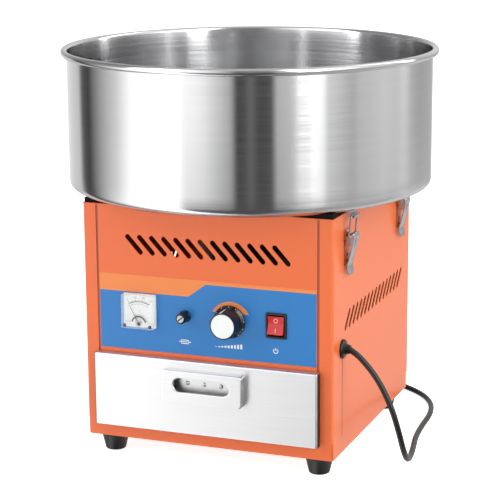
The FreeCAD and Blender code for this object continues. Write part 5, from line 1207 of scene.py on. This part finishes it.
# Studio: pale floor, soft lights and a world that runs from light to dark round the machine.
studioLook = {
    "floor": "#FFFFFF", "floorHalf": 16.0, "floorGlow": 0.85, "fill": 0.62,
    # (angle from the front toward the cord side in degrees, level seen in gloss) for level gloss,
    # for gloss that looks down past the cabinet and for gloss that looks up out of the bowl
    "panorama": [(-180, 0.5), (-159, 1.0), (-113, 0.7), (-108, 0.1), (-98, 0.05), (-93, 0.22), (-84, 0.47),
                 (-78, 0.62), (-70, 0.8), (-63, 1.15), (-56, 1.45), (-14, 1.6), (-8, 1.5), (-1, 1.14),
                 (9, 0.72), (12.5, 0.04), (17, 0.07), (21, 0.2), (26, 0.05), (34, 0.08), (37, 0.8),
                 (56, 0.72), (61, 1.5), (66, 1.5), (69, 0.8), (86, 0.48), (92, 0.68), (112, 0.84),
                 (132, 0.66), (150, 0.45), (180, 0.5)],
    "lowPanorama": [(-180, 0.5), (-111, 0.7), (-106, 0.08), (-95, 0.08), (-60, 1.6), (-30, 2.4), (-25, 1.2),
                    (-20, 0.25), (-12, 0.15), (12, 0.1), (34, 0.1), (60, 0.4), (120, 0.5), (152, 0.75),
                    (172, 0.75), (180, 0.5)],
    "highPanorama": [(-180, 0.8), (-106, 0.2), (-75, 0.35), (-57, 0.4), (-54, 6.0), (-49.5, 6.0),
                     (-46.5, 2.4), (-12, 1.3), (12, 0.25), (34, 0.3), (48, 1.0), (50, 9.0), (60, 9.0),
                     (63, 2.6), (75, 2.2), (95, 1.0), (126, 0.7), (128, 6.0), (134, 6.0), (137, 0.5),
                     (180, 0.8)],
    "lowFrom": -0.2, "lowTo": -0.24, "highFrom": 0.0, "highTo": 0.06,
    "zenith": 0.6, "zenithFrom": 0.75, "zenithTo": 0.95,
}


def makeWorld(look):
    # Gloss sees three ramps over the angle round the machine, blended by height; the eye sees white.
    world = bpy.data.worlds.new("softStudio")
    scene.world = world
    world.use_nodes = True
    tree = world.node_tree
    tree.nodes.clear()
    way = addNode(tree, "TexCoord").outputs["Generated"]
    split = addNode(tree, "SeparateXYZ", inputs={"Vector": way})
    back = addNode(tree, "Math", {"operation": "MULTIPLY"}, {0: split.outputs["Y"], 1: -1.0})
    turned = addNode(tree, "CombineXYZ", inputs={"X": back.outputs[0], "Y": split.outputs["X"]})
    angle = addNode(tree, "TexGradient", {"gradient_type": "RADIAL"}, {"Vector": turned.outputs[0]})
    ramps = {}
    for name in ("panorama", "lowPanorama", "highPanorama"):
        stops = [(a/360 + 0.5, (v, v, v, 1)) for a, v in look[name]]
        ramps[name] = fillRamp(addNode(tree, "ValToRGB", inputs={"Fac": angle.outputs["Fac"]}),
                               stops).outputs[0]
    gloss = ramps["panorama"]
    for start, end, other in ((look["lowFrom"], look["lowTo"], ramps["lowPanorama"]),
                              (look["highFrom"], look["highTo"], ramps["highPanorama"]),
                              (look["zenithFrom"], look["zenithTo"], (look["zenith"],)*3 + (1,))):
        share = addNode(tree, "MapRange",
                        inputs={"Value": split.outputs["Z"], "From Min": start, "From Max": end})
        step = addNode(tree, "Mix", {"data_type": "RGBA"}, {"Factor": share.outputs["Result"]})
        tree.links.new(gloss, step.inputs[6])
        if isinstance(other, tuple):
            step.inputs[7].default_value = other
        else:
            tree.links.new(other, step.inputs[7])
        gloss = step.outputs[2]
    rays = addNode(tree, "LightPath")
    mixture = addNode(tree, "Mix", {"data_type": "RGBA"}, {"Factor": rays.outputs["Is Glossy Ray"]})
    mixture.inputs[6].default_value = (look["fill"],)*3 + (1,)
    tree.links.new(gloss, mixture.inputs[7])
    white = addNode(tree, "Mix", {"data_type": "RGBA"}, {"Factor": rays.outputs["Is Camera Ray"]})
    tree.links.new(mixture.outputs[2], white.inputs[6])
    white.inputs[7].default_value = (1, 1, 1, 1)
    clear = addNode(tree, "Mix", {"data_type": "RGBA"}, {"Factor": rays.outputs["Is Transmission Ray"]})
    tree.links.new(white.outputs[2], clear.inputs[6])
    clear.inputs[7].default_value = (1, 1, 1, 1)
    background = addNode(tree, "Background", inputs={"Color": clear.outputs[2], "Strength": 1.0})
    output = addNode(tree, "OutputWorld", inputs={"Surface": background.outputs[0]})
    output.is_active_output = True


makeWorld(studioLook)

# Lamps: where each stands, the side of its square and its power in watts.
lampLook = {
    "key": {"from": (2.4, -0.45, 1.4), "size": 1.6, "power": 38.0, "colour": "#E4FFE0"},
    "left": {"from": (-1.7, -1.7, 1.3), "size": 1.6, "power": 14.0, "colour": "#FFFFFF"},
    "top": {"from": (0.1, -0.1, 2.4), "size": 1.6, "power": 16.0, "colour": "#FFFFFF"},
}


def makeLamps(look):
    # All point at the cabinet's upper half and are unseen in gloss, which the ramps fill.
    for name, lamp in look.items():
        light = bpy.data.lights.new(name, "AREA")
        light.shape = "SQUARE"
        light.size = lamp["size"]
        light.energy = lamp["power"]
        light.color = hexColour(lamp["colour"])[:3]
        holder = bpy.data.objects.new(name, light)
        holder.location = lamp["from"]
        aim = Vector((0, 0, 0.28)) - Vector(lamp["from"])
        holder.rotation_euler = aim.to_track_quat("-Z", "Y").to_euler()
        holder.visible_glossy = False
        scene.collection.objects.link(holder)


makeLamps(lampLook)


def makeFloor(look):
    # A wide plane; the eye sees it near white while it still takes the soft shadow.
    size = look["floorHalf"]
    mesh = bpy.data.meshes.new("studioFloor")
    mesh.from_pydata([(-size, -size, 0), (size, -size, 0), (size, size, 0), (-size, size, 0)], [],
                     [(0, 1, 2, 3)])
    floor = bpy.data.objects.new("studioFloor", mesh)
    material, tree, shader = startMaterial("paperSweep", {"Base Color": hexColour(look["floor"]),
                                                          "Roughness": 0.9, "Specular IOR Level": 0.0})
    rays = addNode(tree, "LightPath")
    lit = addNode(tree, "Math", {"operation": "MULTIPLY"},
                  {0: rays.outputs["Is Camera Ray"], 1: look["floorGlow"]})
    shader.inputs["Emission Color"].default_value = (1, 1, 1, 1)
    tree.links.new(lit.outputs[0], shader.inputs["Emission Strength"])
    mesh.materials.append(material)
    floor.visible_glossy = False
    scene.collection.objects.link(floor)


makeFloor(studioLook)
scene.view_settings.view_transform = "Standard"
print("stage: studio made")
